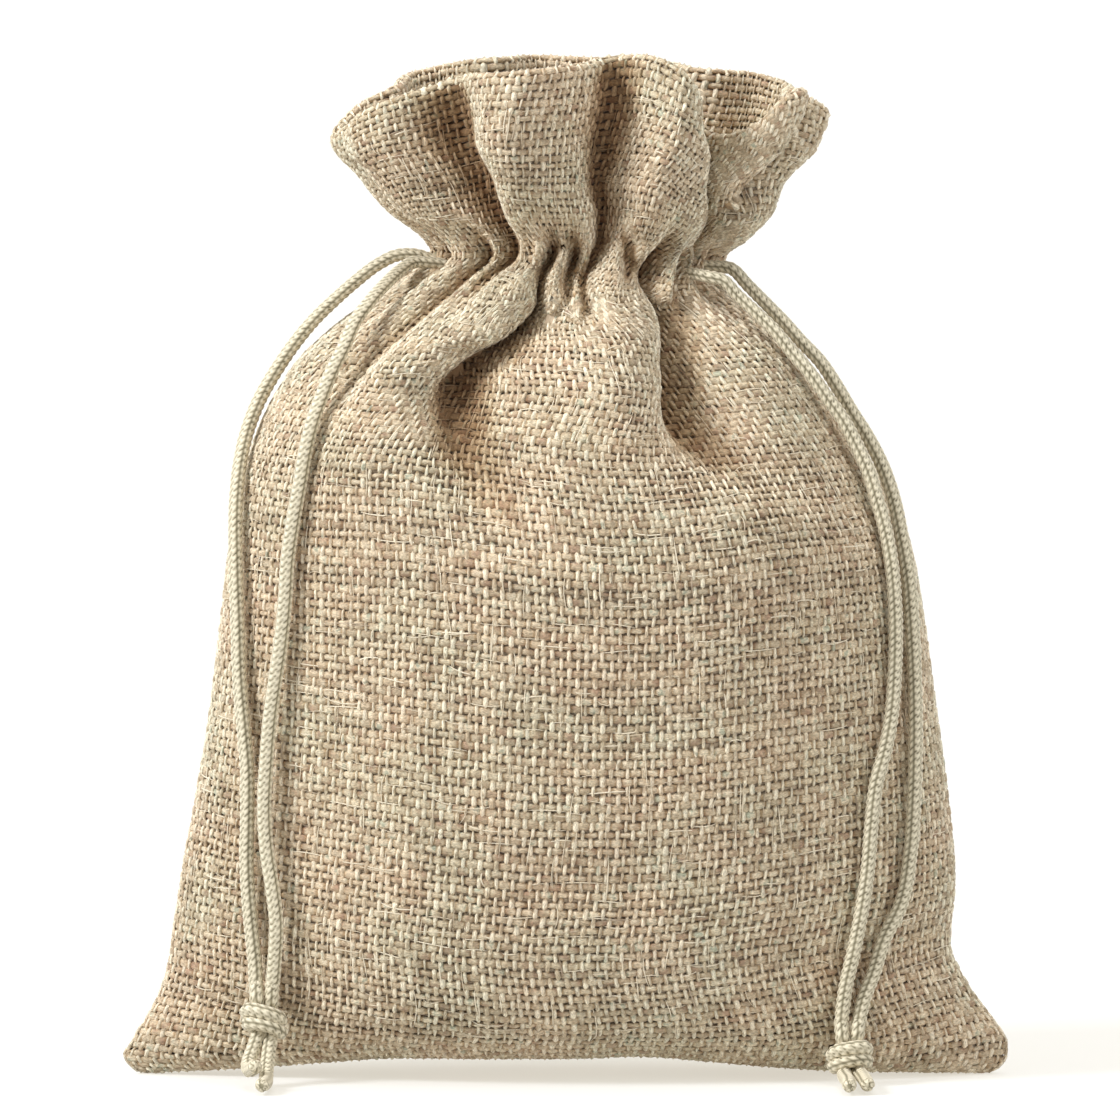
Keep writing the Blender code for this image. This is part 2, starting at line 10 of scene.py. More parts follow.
import bpy
import numpy as np
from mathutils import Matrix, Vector


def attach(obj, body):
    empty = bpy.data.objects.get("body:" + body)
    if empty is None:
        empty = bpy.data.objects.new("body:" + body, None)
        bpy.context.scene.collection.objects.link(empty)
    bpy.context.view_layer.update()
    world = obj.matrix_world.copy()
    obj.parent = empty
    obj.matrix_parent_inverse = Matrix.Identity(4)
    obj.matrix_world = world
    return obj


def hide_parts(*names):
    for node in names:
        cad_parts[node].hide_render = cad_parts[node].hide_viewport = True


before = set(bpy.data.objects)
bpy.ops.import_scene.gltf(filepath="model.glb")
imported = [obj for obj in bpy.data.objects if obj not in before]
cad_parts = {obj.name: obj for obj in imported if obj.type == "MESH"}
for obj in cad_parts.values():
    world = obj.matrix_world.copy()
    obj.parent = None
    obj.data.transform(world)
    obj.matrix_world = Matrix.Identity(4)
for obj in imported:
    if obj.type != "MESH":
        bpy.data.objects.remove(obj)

bpy.ops.object.select_all(action="DESELECT")
MM = 0.001
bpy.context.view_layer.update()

# ------------------------------------------------------------
# The form of the cloth. One length of cloth is folded under the base, sewn up both sides and turned over
# at the rim. The drawstring gathers its neck, so folds run down over the shoulder and up through the ruffle.
NECK = 119.7  # height of the drawstring's line

# Level sections of the outside: ellipses, drawn out to points at the sides where `point` is over 1.
SECTION_COLUMNS = ("height", "centre", "half_width", "front", "back", "point")
SECTIONS = (
    (0, 0, 62.6, 8, 13, 2),
    (0.9, 0.1, 64.2, 11.5, 15.5, 2),
    (2.6, 0, 65.2, 14, 17.2, 1.9),
    (5, 0.7, 64.5, 16.6, 18.6, 1.75),
    (8.5, 0.6, 62.2, 18.9, 19.8, 1.55),
    (13, 0.1, 59.4, 20.8, 21, 1.35),
    (19, -0.6, 57.4, 22.4, 22.4, 1.2),
    (28, 0.4, 57, 24, 24, 1.1),
    (40, 1, 55.4, 25.8, 25.8, 1.05),
    (53, 1.2, 53.4, 27.8, 27.8, 1),
    (66, 1.1, 51.7, 29.8, 29.8, 1),
    (77, 0.8, 50.1, 31.2, 31.2, 1),
    (86, -0.3, 47.5, 31.4, 31.5, 1),
    (93, -1.2, 44.4, 30.2, 29.8, 1),
    (99, -1.6, 41.3, 28.2, 27.6, 1),
    (104.5, -1.6, 37.8, 25.6, 24.8, 1),
    (109.5, -1.4, 32.9, 22.4, 21.6, 1),
    (114, -0.9, 27.4, 18.8, 18.2, 1),
    (117.3, 0.1, 23.9, 16, 15.6, 1),
    (119.7, 2, 22.4, 14.2, 14, 1),
    (122.5, 3, 24.8, 14.4, 14.4, 1),
    (126, 2.4, 28.8, 16, 16.2, 1),
    (131, 1.3, 31.8, 18.4, 18.6, 1),
    (136, 1.4, 36.2, 20.2, 20.4, 1),
    (142, 2.4, 37.5, 21.6, 21.8, 1),
    (149, 2.6, 38, 22.6, 22.8, 1),
)

# Height of the mouth's rim round the ruffle.
RIM_COLUMNS = ("angle", "height")
RIM = (
    (-90, 134.9), (-72, 138.4), (-50, 142.6), (-24, 146.2), (0, 147.4), (14, 148.8), (23, 146.8), (31, 141.5),
    (40, 137), (52, 142.6), (63, 143.6), (90, 139.8), (112, 142.4), (140, 145.4), (165, 146.8), (200, 147.6),
    (214, 146.2), (232, 144.2), (252, 140), (270, 134.9),
)

# The folds, row by row up the cloth: at each height the angle at which a fold's valley lies, its depth, how
# far its banks reach to the left and to the right, and how far the left bank leans over it. The front first.
FOLD_COLUMNS = ("height", "angle", "depth", "left", "right", "lean")
FRONT_FOLDS = {
    "left seam gather": (
        (104, -84, 0, 3, 3, 0), (113, -84, 0.8, 2.2, 2.2, 0), (119.7, -84, 1.6, 1.5, 1.5, 0),
        (127, -85, 0.6, 2, 2, 0), (149, -86, 0.3, 3, 3, 0),
    ),
    "left ear gather": (
        (100, -68, 0, 3, 3, 0), (113, -69, 2.6, 2.6, 2.6, 0), (119.7, -70, 4.6, 1.8, 1.8, 0),
        (128, -71, 1.2, 2.5, 2.5, 0), (149, -72, 1.6, 4, 4, 0),
    ),
    "left shoulder gather": (
        (96, -57, 0, 4, 4, 0), (110, -56.5, 0.8, 2.8, 2.8, 0), (119.7, -57, 1, 1.7, 1.7, 0),
        (128, -57, 0.6, 2.5, 2.5, 0), (149, -57, 0.8, 3, 3, 0),
    ),
    "left crease": (
        (98, -51, 0, 4, 4, 0), (105, -48.5, 2.8, 3.4, 3, 0), (112, -45.5, 4.4, 2.6, 2.4, 0.6),
        (119.7, -43, 5.4, 1.8, 1.8, 0), (127, -43, 1.6, 2.5, 2.5, 0), (149, -46, 0.6, 3, 3, 0),
    ),
    "ruffle's left valley": (
        (98, -45.5, 0, 3, 3, 0), (103, -43, 0, 3, 3, 0), (106, -40, 0, 3, 3, 0), (110, -36, 0.6, 2.6, 2.6, 0),
        (113, -33, 2, 2.2, 2.2, 0), (119.7, -30.5, 6, 1.7, 1.7, 0), (124, -28.5, 7.4, 3.2, 1.8, 0),
        (131, -28, 10, 7, 3, 0), (138, -31, 10.6, 8, 4, 0), (144, -35, 8.2, 8.5, 5.5, 0),
        (150, -38.5, 6, 8.5, 7, 0),
    ),
    "left neck gap": (
        (98, -40, 0, 1.5, 1.5, 0), (103, -37.5, 0, 1.5, 1.5, 0), (106, -34.5, 0, 1.5, 1.5, 0),
        (110, -27, 0, 1.5, 1.5, 0), (113, -23, 0, 1.5, 1.5, 0), (117, -21.5, 1.4, 1.2, 1.2, 0),
        (121.5, -20.5, 2.6, 1.2, 1.2, 0), (125, -20, 1.2, 1.5, 1.5, 0), (130, -19, 0.4, 2, 2, 0),
        (149, -19, 0.2, 3, 3, 0),
    ),
    "left shoulder fold": (
        (76, -8, 0, 9, 14, 0), (82, -10, 2, 7, 13, 0), (88, -15, 4.4, 5.5, 12, 0.5),
        (94, -22, 7, 4.2, 12, 1.4), (99, -28, 9, 3.6, 12.5, 2.4), (103, -31, 10.8, 3.2, 13, 3.2),
        (106, -28.5, 11.4, 2.6, 12, 4), (110, -18.5, 10.8, 2.2, 9.5, 4), (113.8, -11.8, 8.8, 1.7, 5.4, 2.8),
        (116.6, -11.4, 7.2, 1.4, 2.8, 1.2), (119.7, -12.5, 6.8, 1.4, 1.4, 0), (124, -12, 3, 1.6, 1.6, 0),
        (130, -12, 0.4, 3, 3, 0), (149, -12, 0, 3, 3, 0),
    ),
    "middle gap": (
        (113, 4, 0, 1.5, 1.5, 0), (116, 2, 5.6, 1.3, 1.3, 0), (119.7, -2, 7.2, 1.3, 1.3, 0),
        (123, -5, 4, 1.4, 1.4, 0), (127, -6, 0.8, 2.5, 2.5, 0), (149, -5, 0.3, 3, 3, 0),
    ),
    "ruffle's middle valley": (
        (110, 10, 0, 1.6, 1.6, 0), (113.8, 9.6, 4.6, 1.3, 1.3, 0), (119.7, 6, 6.8, 1.3, 1.4, 0),
        (123.5, 5.5, 7.6, 1.8, 2, 0.3), (128, 7, 9.6, 3.2, 3.6, 0.8), (136, 7, 12, 5.2, 5.6, 1),
        (149, 8, 13, 6.2, 7.5, 1),
    ),
    "right crease": (
        (99, 14, 0, 1.6, 1.6, 0), (104, 15, 0, 1.6, 1.6, 0), (109, 18.5, 0, 1.6, 1.6, 0),
        (114, 24, 0, 1.6, 1.6, 0), (118, 22.5, 3.4, 1.2, 1.2, 0), (121, 17.5, 4.2, 1.2, 1.2, 0),
        (125, 12.5, 1.8, 1.3, 1.3, 0), (129, 14, 0.3, 2, 2, 0), (149, 18, 0, 3, 3, 0),
    ),
    "right shoulder fold": (
        (80, 50, 0, 9, 12, 0), (84, 45, 0.6, 9, 12, 0), (88, 37, 2.2, 7, 11, 0), (91.5, 30, 4.6, 5, 10, 0.6),
        (95, 25.5, 7.4, 4, 9.5, 1.6), (99, 22.5, 10.2, 3, 9.5, 3), (104, 21.5, 12, 2.4, 9, 4.4),
        (108.7, 24.5, 12, 2, 7.4, 4.4), (112.6, 28.5, 9.8, 1.7, 4.8, 3.2), (116, 30, 7.4, 1.4, 2.6, 1.2),
        (119.2, 29.5, 7, 1.3, 1.6, 0.4), (122.5, 30, 3.4, 1.4, 1.5, 0), (127, 28, 0.6, 2, 2, 0),
        (149, 24, 0, 3, 3, 0),
    ),
    "right neck gather": (
        (86, 58, 0, 3, 3, 0), (95, 50, 0, 3, 3, 0), (104, 45, 0, 3, 3, 0), (112, 44, 2.2, 2.2, 2.4, 0.4),
        (119.7, 44, 3.8, 1.4, 1.4, 0), (124, 39, 1.4, 1.6, 1.6, 0), (130, 33, 0.5, 2.5, 2.5, 0),
        (149, 27, 0.4, 3, 3, 0),
    ),
    "mouth's right valley": (
        (86, 67, 0, 3, 3, 0), (108, 60, 0, 3, 3, 0), (115, 59, 2.8, 2, 2, 0), (119.7, 58, 5.6, 1.5, 1.8, 0),
        (122, 50, 7.6, 1.5, 2.2, 0.8), (125, 45, 8.6, 1.6, 2.4, 1.6), (127.5, 42, 9.5, 1.8, 3, 2.4),
        (132, 38, 11.5, 2, 4, 3.4), (136, 34, 13, 2.4, 4.8, 3.4), (139.5, 32, 13.5, 2.6, 5.4, 2.4),
        (149, 32, 13.5, 3, 6, 1),
    ),
    "right lobe's crease": (
        (112, 74, 0, 3, 3, 0), (119.7, 72, 3.4, 1.6, 1.6, 0), (122, 62, 2.8, 1.5, 1.5, 0),
        (125, 53, 3, 1.4, 1.6, 0.6), (129, 55.5, 4, 1.5, 2.8, 1.6), (133.5, 58, 4.6, 1.8, 3.8, 2),
        (141, 66, 4.4, 2.2, 4.4, 1.6), (149, 69, 4, 2.5, 4.6, 0.8),
    ),
}

# The back ones are plainer: one row for each, with its angle and depth at the shoulder, the neck and the rim.
BACK_COLUMNS = (
    "shoulder_angle", "neck_angle", "rim_angle", "shoulder_depth", "neck_depth", "rim_depth", "width",
)
BACK_FOLDS = (
    (90, 88, 89, 0.6, 2.8, 0.4, 3),
    (110, 108, 110, 0.6, 3.6, 5, 4),
    (128, 126, 127, 3.4, 3.2, 0.6, 5),
    (144, 146, 148, 0.6, 3.8, 6.6, 4.6),
    (163, 162, 166, 0.8, 3, 0.8, 3),
    (182, 181, 183, 4.6, 3.8, 0.8, 6),
    (200, 201, 203, 0.6, 3.2, 6.8, 4.8),
    (219, 217, 219, 0.8, 3.6, 0.6, 3),
    (236, 237, 238, 3.8, 3.2, 5.2, 5),
    (256, 255, 256, 0.6, 3.4, 0.8, 3),
)

# Single swells of the cloth, and hollows where `out` is under 0: where each lies, how far it reaches to the
# sides and up and down, and how far it moves the cloth out and down.
SWELL_COLUMNS = ("angle", "height", "wide", "tall", "out", "down")
SWELLS = (
    (-38, 95, 6, 9, 2.6, 0),
    (-37, 105, 4.6, 5, 3.2, 1),
    (-25, 110.5, 3.2, 3.4, 2.8, 1.2),
    (-17, 116, 1.8, 2.8, 2, 0.6),
    (-3, 115.2, 1.8, 2.4, 3.2, 2.4),
    (6.5, 114.8, 1.5, 2.4, 3.2, 2.4),
    (18, 115, 3.4, 4.5, 1.4, 0.6),
    (37, 117, 2.4, 3.2, 2.6, 2.2),
    (13, 104, 4.5, 9, 3.6, 0),
    (52, 104, 6, 7, 1, 0),
    (49, 136, 3.5, 8, 1.2, 0),
    (-17, 138, 5, 12, 2.2, 0),
    (0, 142, 5, 9, -1.6, 0),
    (-54, 134, 6, 8, 1.8, 0),
    (23, 134, 4, 10, 1.6, 0),
    (-20, 74, 11, 12, -0.7, 0),
    (16, 58, 14, 7, -0.6, 0),
    (34, 80, 9, 9, 0.8, 0),
    (-17, 36, 15, 28, 1.5, 0),
    (-42, 40, 9, 26, -0.9, 0),
    (26, 62, 11, 24, 1, 0),
    (8, 30, 16, 6, -0.5, 0),
    (170, 60, 14, 10, -0.7, 0),
)
SEAM_DEPTH, SEAM_WIDTH = 0.7, 0.9  # the groove of a side seam
LEAN_PLACE, LEAN_REACH = 0.8, 0.7  # shares of a bank's width: where it leans most, and how far round that
LIFT_FADE = 9.0  # height over which the base's arch fades out

# How far the edge of the base arches off the floor, from side to side.
LIFT_COLUMNS = ("across", "lift")
BASE_LIFT = (
    (-60, 0), (-46, 1), (-34, 2.1), (-24, 2.8), (0, 2.8), (10, 3.1), (20, 2.4), (30, 1.4), (40, 0.7), (60, 0),
)


def column(table, columns, name):
    """One named column of a table."""
    return np.array([row[columns.index(name)] for row in table], dtype=float)


def smooth(x, xs, ys):
    """Smooth curve through the points (xs, ys) that doesn't overshoot them, read at x."""
    run = np.diff(xs)
    slope = np.diff(ys) / run
    tangent = np.concatenate(([slope[0]], np.zeros(len(xs) - 2), [slope[-1]]))
    for i in range(1, len(xs) - 1):
        if slope[i - 1] * slope[i] > 0:
            tangent[i] = 2 * slope[i - 1] * slope[i] / (slope[i - 1] + slope[i])
    x = np.clip(x, xs[0], xs[-1])
    i = np.clip(np.searchsorted(xs, x, side="right") - 1, 0, len(run) - 1)
    t = (x - xs[i]) / run[i]
    start = (1 + 2 * t) * (1 - t) ** 2 * ys[i] + t * (1 - t) ** 2 * run[i] * tangent[i]
    end = t**2 * (3 - 2 * t) * ys[i + 1] + t**2 * (t - 1) * run[i] * tangent[i + 1]
    return start + end


def section(height, name):
    """One measure of the level section at each height."""
    heights = column(SECTIONS, SECTION_COLUMNS, "height")
    return smooth(height, heights, column(SECTIONS, SECTION_COLUMNS, name))


def back_fold(shoulder_angle, neck_angle, rim_angle, shoulder_depth, neck_depth, rim_depth, width):
    """The rows of a plain fold at the back."""
    return (
        (82, shoulder_angle, 0.0, width, width, 0),
        (101, shoulder_angle, shoulder_depth, width, width, 0),
        (112, neck_angle, 0.4 * neck_depth + 0.3 * shoulder_depth, 2.4, 2.4, 0),
        (NECK, neck_angle, neck_depth, 1.5, 1.5, 0),
        (127, neck_angle, 0.4 * neck_depth + 0.3 * rim_depth, 2.4, 2.4, 0),
        (136, rim_angle, 0.8 * rim_depth, width, width, 0),
        (149, rim_angle, rim_depth, width, width, 0),
    )


FOLDS = (*FRONT_FOLDS.values(), *(back_fold(**dict(zip(BACK_COLUMNS, row))) for row in BACK_FOLDS))


def folds_at(angle, height, speed):
    """How far the folds sink the cloth in, and how far their banks lean along it."""
    sunk, lean = np.zeros(angle.shape), np.zeros(angle.shape)
    for fold in FOLDS:
        heights = column(fold, FOLD_COLUMNS, "height")
        valley, depth, left, right, over = (
            smooth(height, heights, column(fold, FOLD_COLUMNS, name)) for name in FOLD_COLUMNS[1:]
        )
        distance = np.radians((angle - valley + 180) % 360 - 180) * speed
        width = np.where(distance < 0, left, right)
        sunk += depth * np.exp(-((distance / width) ** 2))
        lean += over * np.exp(-(((distance + LEAN_PLACE * left) / (LEAN_REACH * left)) ** 2))
    return sunk, lean


def swells_at(angle, height, speed):
    """How far the swells move the cloth out and down."""
    out, down = np.zeros(angle.shape), np.zeros(angle.shape)
    for row in SWELLS:
        lump = dict(zip(SWELL_COLUMNS, row))
        distance = np.radians((angle - lump["angle"] + 180) % 360 - 180) * speed
        share = np.exp(-((distance / lump["wide"]) ** 2) - ((height - lump["height"]) / lump["tall"]) ** 2)
        out += lump["out"] * share
        down += lump["down"] * share
    return out, down


def cloth_form(angle, height):
    """Points of the outside of the cloth at these angles and heights."""
    a = np.radians(angle)
    point = section(height, "point")
    half_width, front, back = (section(height, n) for n in ("half_width", "front", "back"))
    deep = np.where(np.cos(a) > 0, front, back)
    speed = np.sqrt((half_width * np.cos(a)) ** 2 + (deep * np.sin(a)) ** 2)
    sunk, lean = folds_at(angle, height, speed)
    out, down = swells_at(angle, height, speed)
    seam = np.minimum(np.abs((angle + 90 + 180) % 360 - 180), np.abs((angle - 90 + 180) % 360 - 180))
    sunk += SEAM_DEPTH * np.exp(-((np.radians(seam) * speed / SEAM_WIDTH) ** 2)) - out
    x = section(height, "centre") + half_width * np.sin(a)
    y = -deep * np.sign(np.cos(a)) * np.abs(np.cos(a)) ** point
    inward = np.stack((-np.sin(a) / half_width, np.cos(a) / deep))
    inward /= np.linalg.norm(inward, axis=0)
    along = np.stack((-inward[1], inward[0]))
    z = height + base_lift(x) * np.exp(-((height / LIFT_FADE) ** 2))
    place = (x + inward[0] * sunk - along[0] * lean, y + inward[1] * sunk - along[1] * lean, z - down)
    return np.stack(place, axis=-1)


def base_lift(across):
    """How far the edge of the base is off the floor."""
    return smooth(across, column(BASE_LIFT, LIFT_COLUMNS, "across"), column(BASE_LIFT, LIFT_COLUMNS, "lift"))


# ------------------------------------------------------------
# The grid of the weave. The cloth is plain woven jute yarn: warp ends run up it and weft picks across it. On
# the form their places are even along each pick from seam to seam, and even up each end.
ENDS = 216  # warp ends round the pouch, half of them in front
BODY_PICKS, RUFFLE_PICKS, RIM_PICKS, INNER_PICKS = 112, 26, 2, 22
PICKS = BODY_PICKS + RUFFLE_PICKS + RIM_PICKS + INNER_PICKS
PICK_STIFFNESS = 14  # half threads over which a pick evens out, each way and three times
OUTER_DEPTH = 0.5  # the outer cloth's middle under the outside of the form
INNER_DEPTH = 1.7  # the turned-in hem's middle
JOG_PASSES = 40  # times that the ends' places are evened out from row to row
BASE_EDGE, BASE_FOLD = 62.6, 2.5  # half the base's width, and how far back the fold along its middle lies
LEVEL_REACHES = (6, 9, 12, 15)  # half threads over which the folds are evened out to find their depth
UNSHADED_ROWS = 12  # half threads up from the fold under the base that get no shade

# Painted shade: places in the front's folds where extra shade is painted, as millimetres of depth.
SHADE_COLUMNS = ("across", "height", "wide", "tall", "depth")
FOLD_SHADES = (
    (18.5, 104.5, 4, 7, 2),
    (14.5, 111.5, 2.4, 4, 1.2),
    (-7.5, 106.5, 4.2, 3.2, 1.7),
    (-13, 100, 4.6, 4.6, 1.3),
    (-17.5, 95, 3, 5, 0.8),
)

FINE_COLUMNS = 1104  # columns of the fine form
turn = np.arange(FINE_COLUMNS) * 360.0 / FINE_COLUMNS
body_heights = np.concatenate((
    np.linspace(0, 8, 17)[:-1],
    np.linspace(8, 90, 60)[:-1],
    np.linspace(90, NECK, 120),
))
ruffle_shares = np.linspace(0, 1, 61)[1:]
rim_turn = (turn + 90) % 360 - 90
rim_height = smooth(rim_turn, column(RIM, RIM_COLUMNS, "angle"), column(RIM, RIM_COLUMNS, "height"))
heights = np.concatenate((
    np.repeat(body_heights[:, None], FINE_COLUMNS, axis=1),
    NECK + ruffle_shares[:, None] * (rim_height - NECK)[None, :],
))
form = cloth_form(np.repeat(turn[None, :], len(heights), axis=0), heights)


def thread_columns(points, angles):
    """For one row round the pouch, the column at which each half thread lies."""
    ring = np.concatenate((points, points[:1]))
    length = np.concatenate(([0.0], np.cumsum(np.linalg.norm(np.diff(ring, axis=0), axis=1))))
    total = length[-1]
    turn = np.concatenate((angles, [angles[0] + 360]))
    left, right = np.interp(270, turn, length), np.interp(90, turn, length)
    front = np.linspace(left - total, right, ENDS + 1)[:-1]
    back = np.linspace(right, left, ENDS + 1)[:-1]
    index = np.arange(len(ring), dtype=float)
    two_turns = np.concatenate((length[:-1] - total, length))
    two_indices = np.concatenate((index[:-1] - len(points), index))
    return np.interp(np.concatenate((front, back)), two_turns, two_indices)


columns = np.array([thread_columns(points, turn) for points in form])
for _ in range(JOG_PASSES):
    columns[1:-1] = (columns[:-2] + 2 * columns[1:-1] + columns[2:]) / 4
low = np.floor(columns).astype(int)
part = (columns - low)[..., None]
rows = np.arange(len(form))[:, None]
left, right = low % FINE_COLUMNS, (low + 1) % FINE_COLUMNS
form = form[rows, left] * (1 - part) + form[rows, right] * part

# The base's underside, from its edge in to the fold of the cloth along its middle.
edge = form[0]
base_middle = BASE_FOLD * np.clip(1 - (edge[:, 0] / BASE_EDGE) ** 2, 0, 1)
under = []
for out_share in np.linspace(0.02, 1, 12)[:-1]:
    row = edge.copy()
    row[:, 1] = base_middle + (edge[:, 1] - base_middle) * out_share
    under.append(row)
neck_row = len(body_heights)
body = np.concatenate((np.array(under), form[:neck_row]))


def even_rows(points, count):
    """Rows of points at even lengths up every column, the lengths evened out between neighbours."""
    step = np.linalg.norm(np.diff(points, axis=0), axis=2)
    length = np.concatenate((np.zeros((1, step.shape[1])), np.cumsum(step, axis=0)))
    length /= length[-1]
    reach = np.arange(-PICK_STIFFNESS, PICK_STIFFNESS + 1)
    for _ in range(3):
        length = np.mean([np.roll(length, k, axis=1) for k in reach], axis=0)
    result = np.zeros((count + 1, points.shape[1], 3))
    for i in range(points.shape[1]):
        at = np.linspace(0, 1, count + 1)
        for k in range(3):
            result[:, i, k] = np.interp(at, length[:, i], points[:, i, k])
    return result


def unit(vectors):
    """The vectors' directions, at length one."""
    return vectors / np.maximum(np.linalg.norm(vectors, axis=-1, keepdims=True), 1e-9)


outside = np.concatenate((
    even_rows(body, 2 * BODY_PICKS),
    even_rows(form[neck_row - 1 :], 2 * RUFFLE_PICKS)[1:],
))
round_way = np.roll(outside, -1, axis=1) - np.roll(outside, 1, axis=1)
up_way = np.gradient(outside, axis=0)
facing = unit(np.cross(round_way, up_way))
for _ in range(2):
    facing = unit((np.roll(facing, 1, axis=1) + 2 * facing + np.roll(facing, -1, axis=1)))
rim_up = unit(up_way[-1])
rim_core = outside[-1] - (OUTER_DEPTH + INNER_DEPTH) / 2 * facing[-1]
turn_rows, turn_facing = [], []
for k in range(1, 2 * RIM_PICKS):
    bend = math.pi * k / (2 * RIM_PICKS)
    way = math.cos(bend) * facing[-1] + math.sin(bend) * rim_up
    turn_rows.append(rim_core + (INNER_DEPTH - OUTER_DEPTH) / 2 * way)
    turn_facing.append(way)
inner = outside[::-1][: 2 * INNER_PICKS + 1] - INNER_DEPTH * facing[::-1][: 2 * INNER_PICKS + 1]
cloth = np.concatenate((outside - OUTER_DEPTH * facing, turn_rows, inner))
facing = np.concatenate((facing, turn_facing, -facing[::-1][: 2 * INNER_PICKS + 1]))
level = cloth.copy()  # the cloth with its folds evened out
for reach in LEVEL_REACHES:
    across = sum(np.roll(level, k, axis=1) for k in range(-reach, reach + 1)) / (2 * reach + 1)
    rows_up = reach // 2
    tall = np.concatenate((level[:1].repeat(rows_up, axis=0), across, level[-1:].repeat(rows_up, axis=0)))
    level = sum(tall[k : k + len(level)] for k in range(2 * rows_up + 1)) / (2 * rows_up + 1)
hollow = np.sum((level - cloth) * facing, axis=2)  # how far the cloth lies under its surroundings
# The painted shade's own places count as deeper still.
for row in FOLD_SHADES:
    shade = dict(zip(SHADE_COLUMNS, row))
    across = (cloth[..., 0] - shade["across"]) / shade["wide"]
    upward = (cloth[..., 2] - shade["height"]) / shade["tall"]
    hollow += (cloth[..., 1] < 0) * shade["depth"] * np.exp(-(across**2) - upward**2)
hollow[2 * (BODY_PICKS + RUFFLE_PICKS) :] = 0
hollow[:UNSHADED_ROWS] = 0
end_gap = np.linalg.norm(np.roll(cloth, -1, axis=1) - np.roll(cloth, 1, axis=1), axis=2)
pick_gap = np.linalg.norm(np.gradient(cloth, axis=0), axis=2) * 2


def on_cloth(values, u, v):
    """Values of a grid of half threads, read at places counted in threads."""
    u, v = 2 * u, np.clip(2 * v, 0, 2 * PICKS)
    left, below = np.floor(u).astype(int), np.minimum(np.floor(v).astype(int), 2 * PICKS - 1)
    s, t = u - left, v - below
    if values.ndim == 3:
        s, t = s[..., None], t[..., None]
    a, b = left % (2 * ENDS), (left + 1) % (2 * ENDS)
    lower = values[below, a] * (1 - s) + values[below, b] * s
    upper = values[below + 1, a] * (1 - s) + values[below + 1, b] * s
    return lower * (1 - t) + upper * t


# ------------------------------------------------------------
# The ground cloth: one closed sheet just under the yarns. It stands for the jute that shows dark in the gaps
# between them, and for the cloth's inside, and it runs from the fold under the base up to the rim.
GROUND_OUT, GROUND_IN = 0.24, 0.82  # depths of its two sides under the middle of the yarns
GROUND_LOW_OUT, GROUND_LOW_IN = 0.15, 0.5  # the lowest that its two sides come to the floor
GROUND_STEP, GROUND_FINE = 3, 8  # picks to a row, and how far below the neck each pick gets its own
# The painted shade's tones, from cloth that lies level to cloth deep in a fold.
HOLLOW_SHADE_TONES = (
    (0.0, (1.0, 1.0, 1.0)),
    (0.25, (0.86, 0.80, 0.73)),
    (0.7, (0.58, 0.47, 0.37)),
    (1.0, (0.44, 0.33, 0.24)),
)
HOLLOW_DEPTH = 2.5  # millimetres under its surroundings at which the cloth has the last of these tones


def new_mesh_object(name, points, quads, caps=()):
    """An object made of points in millimetres, an array of quads and a few more faces."""
    mesh = bpy.data.meshes.new(name)
    points = np.asarray(points, dtype=float).reshape(-1, 3) * MM
    faces = [tuple(q) for q in np.asarray(quads).reshape(-1, 4).tolist()] + [tuple(c) for c in caps]
    mesh.from_pydata(points.tolist(), [], faces)
    mesh.shade_smooth()
    thing = bpy.data.objects.new(name, mesh)
    bpy.context.scene.collection.objects.link(thing)
    return thing


def ring_quads(first, second, count):
    """Quads between two closed rings of points, given the index at which each starts."""
    i = np.arange(count)
    j = (i + 1) % count
    return np.stack((first + i, first + j, second + j, second + i), axis=1)


ground_v = np.concatenate((
    np.arange(0.5, BODY_PICKS - GROUND_FINE, GROUND_STEP),
    np.arange(BODY_PICKS - GROUND_FINE, BODY_PICKS + RUFFLE_PICKS + 0.1, 1),
))
ground_u, ground_rows = np.meshgrid(np.arange(ENDS, dtype=float), ground_v)
ground_place = on_cloth(cloth, ground_u, ground_rows)
ground_facing = unit(on_cloth(facing, ground_u, ground_rows))
ground_out = ground_place - GROUND_OUT * ground_facing
ground_in = ground_place - GROUND_IN * ground_facing
ground_out[..., 2] = np.maximum(ground_out[..., 2], GROUND_LOW_OUT)
ground_in[..., 2] = np.maximum(ground_in[..., 2], GROUND_LOW_IN)
ground_points = np.concatenate((ground_out, ground_in[::-1])).reshape(-1, 3)
ground_quads = []
for k in range(2 * len(ground_v) - 1):
    ground_quads.append(ring_quads(k * ENDS, (k + 1) * ENDS, ENDS))
half = ENDS // 2
ground_ends = []
for start, way in ((0, 1), ((2 * len(ground_v) - 1) * ENDS, -1)):
    i = np.arange(1, half - 1)
    strip = np.stack((start + i, start + ENDS - i, start + ENDS - i - 1, start + i + 1), axis=1)
    ground_quads.append(strip[:, ::way])
    ground_ends.append((start, start + ENDS - 1, start + 1)[::way])
    ground_ends.append((start + half - 1, start + half + 1, start + half)[::way])
sack_cloth = new_mesh_object("sack_cloth", ground_points, np.concatenate(ground_quads), ground_ends)


def noise_node(nodes, links, vector, scale, detail, roughness=0.5):
    """A noise texture that reads a vector."""
    noise = nodes.new("ShaderNodeTexNoise")
    noise.inputs["Scale"].default_value = scale
    noise.inputs["Detail"].default_value = detail
    noise.inputs["Roughness"].default_value = roughness
    links.new(vector, noise.inputs["Vector"])
    return noise


def ramp_node(nodes, links, value, stops):
    """A colour ramp with its stops as (place, grey or colour)."""
    ramp = nodes.new("ShaderNodeValToRGB")
    elements = ramp.color_ramp.elements
    while len(elements) < len(stops):
        elements.new(0.5)
    for element, (place, colour) in zip(elements, stops):
        element.position = place
        element.color = (*colour, 1) if hasattr(colour, "__len__") else (colour, colour, colour, 1)
    links.new(value, ramp.inputs["Fac"])
    return ramp


def note(thing, name, values, kind="FLOAT"):
    """Notes values or vectors on the points of a piece, for its material to read."""
    field = "value" if kind == "FLOAT" else "vector"
    thing.data.attributes.new(name, kind, "POINT").data.foreach_set(field, np.ravel(values))


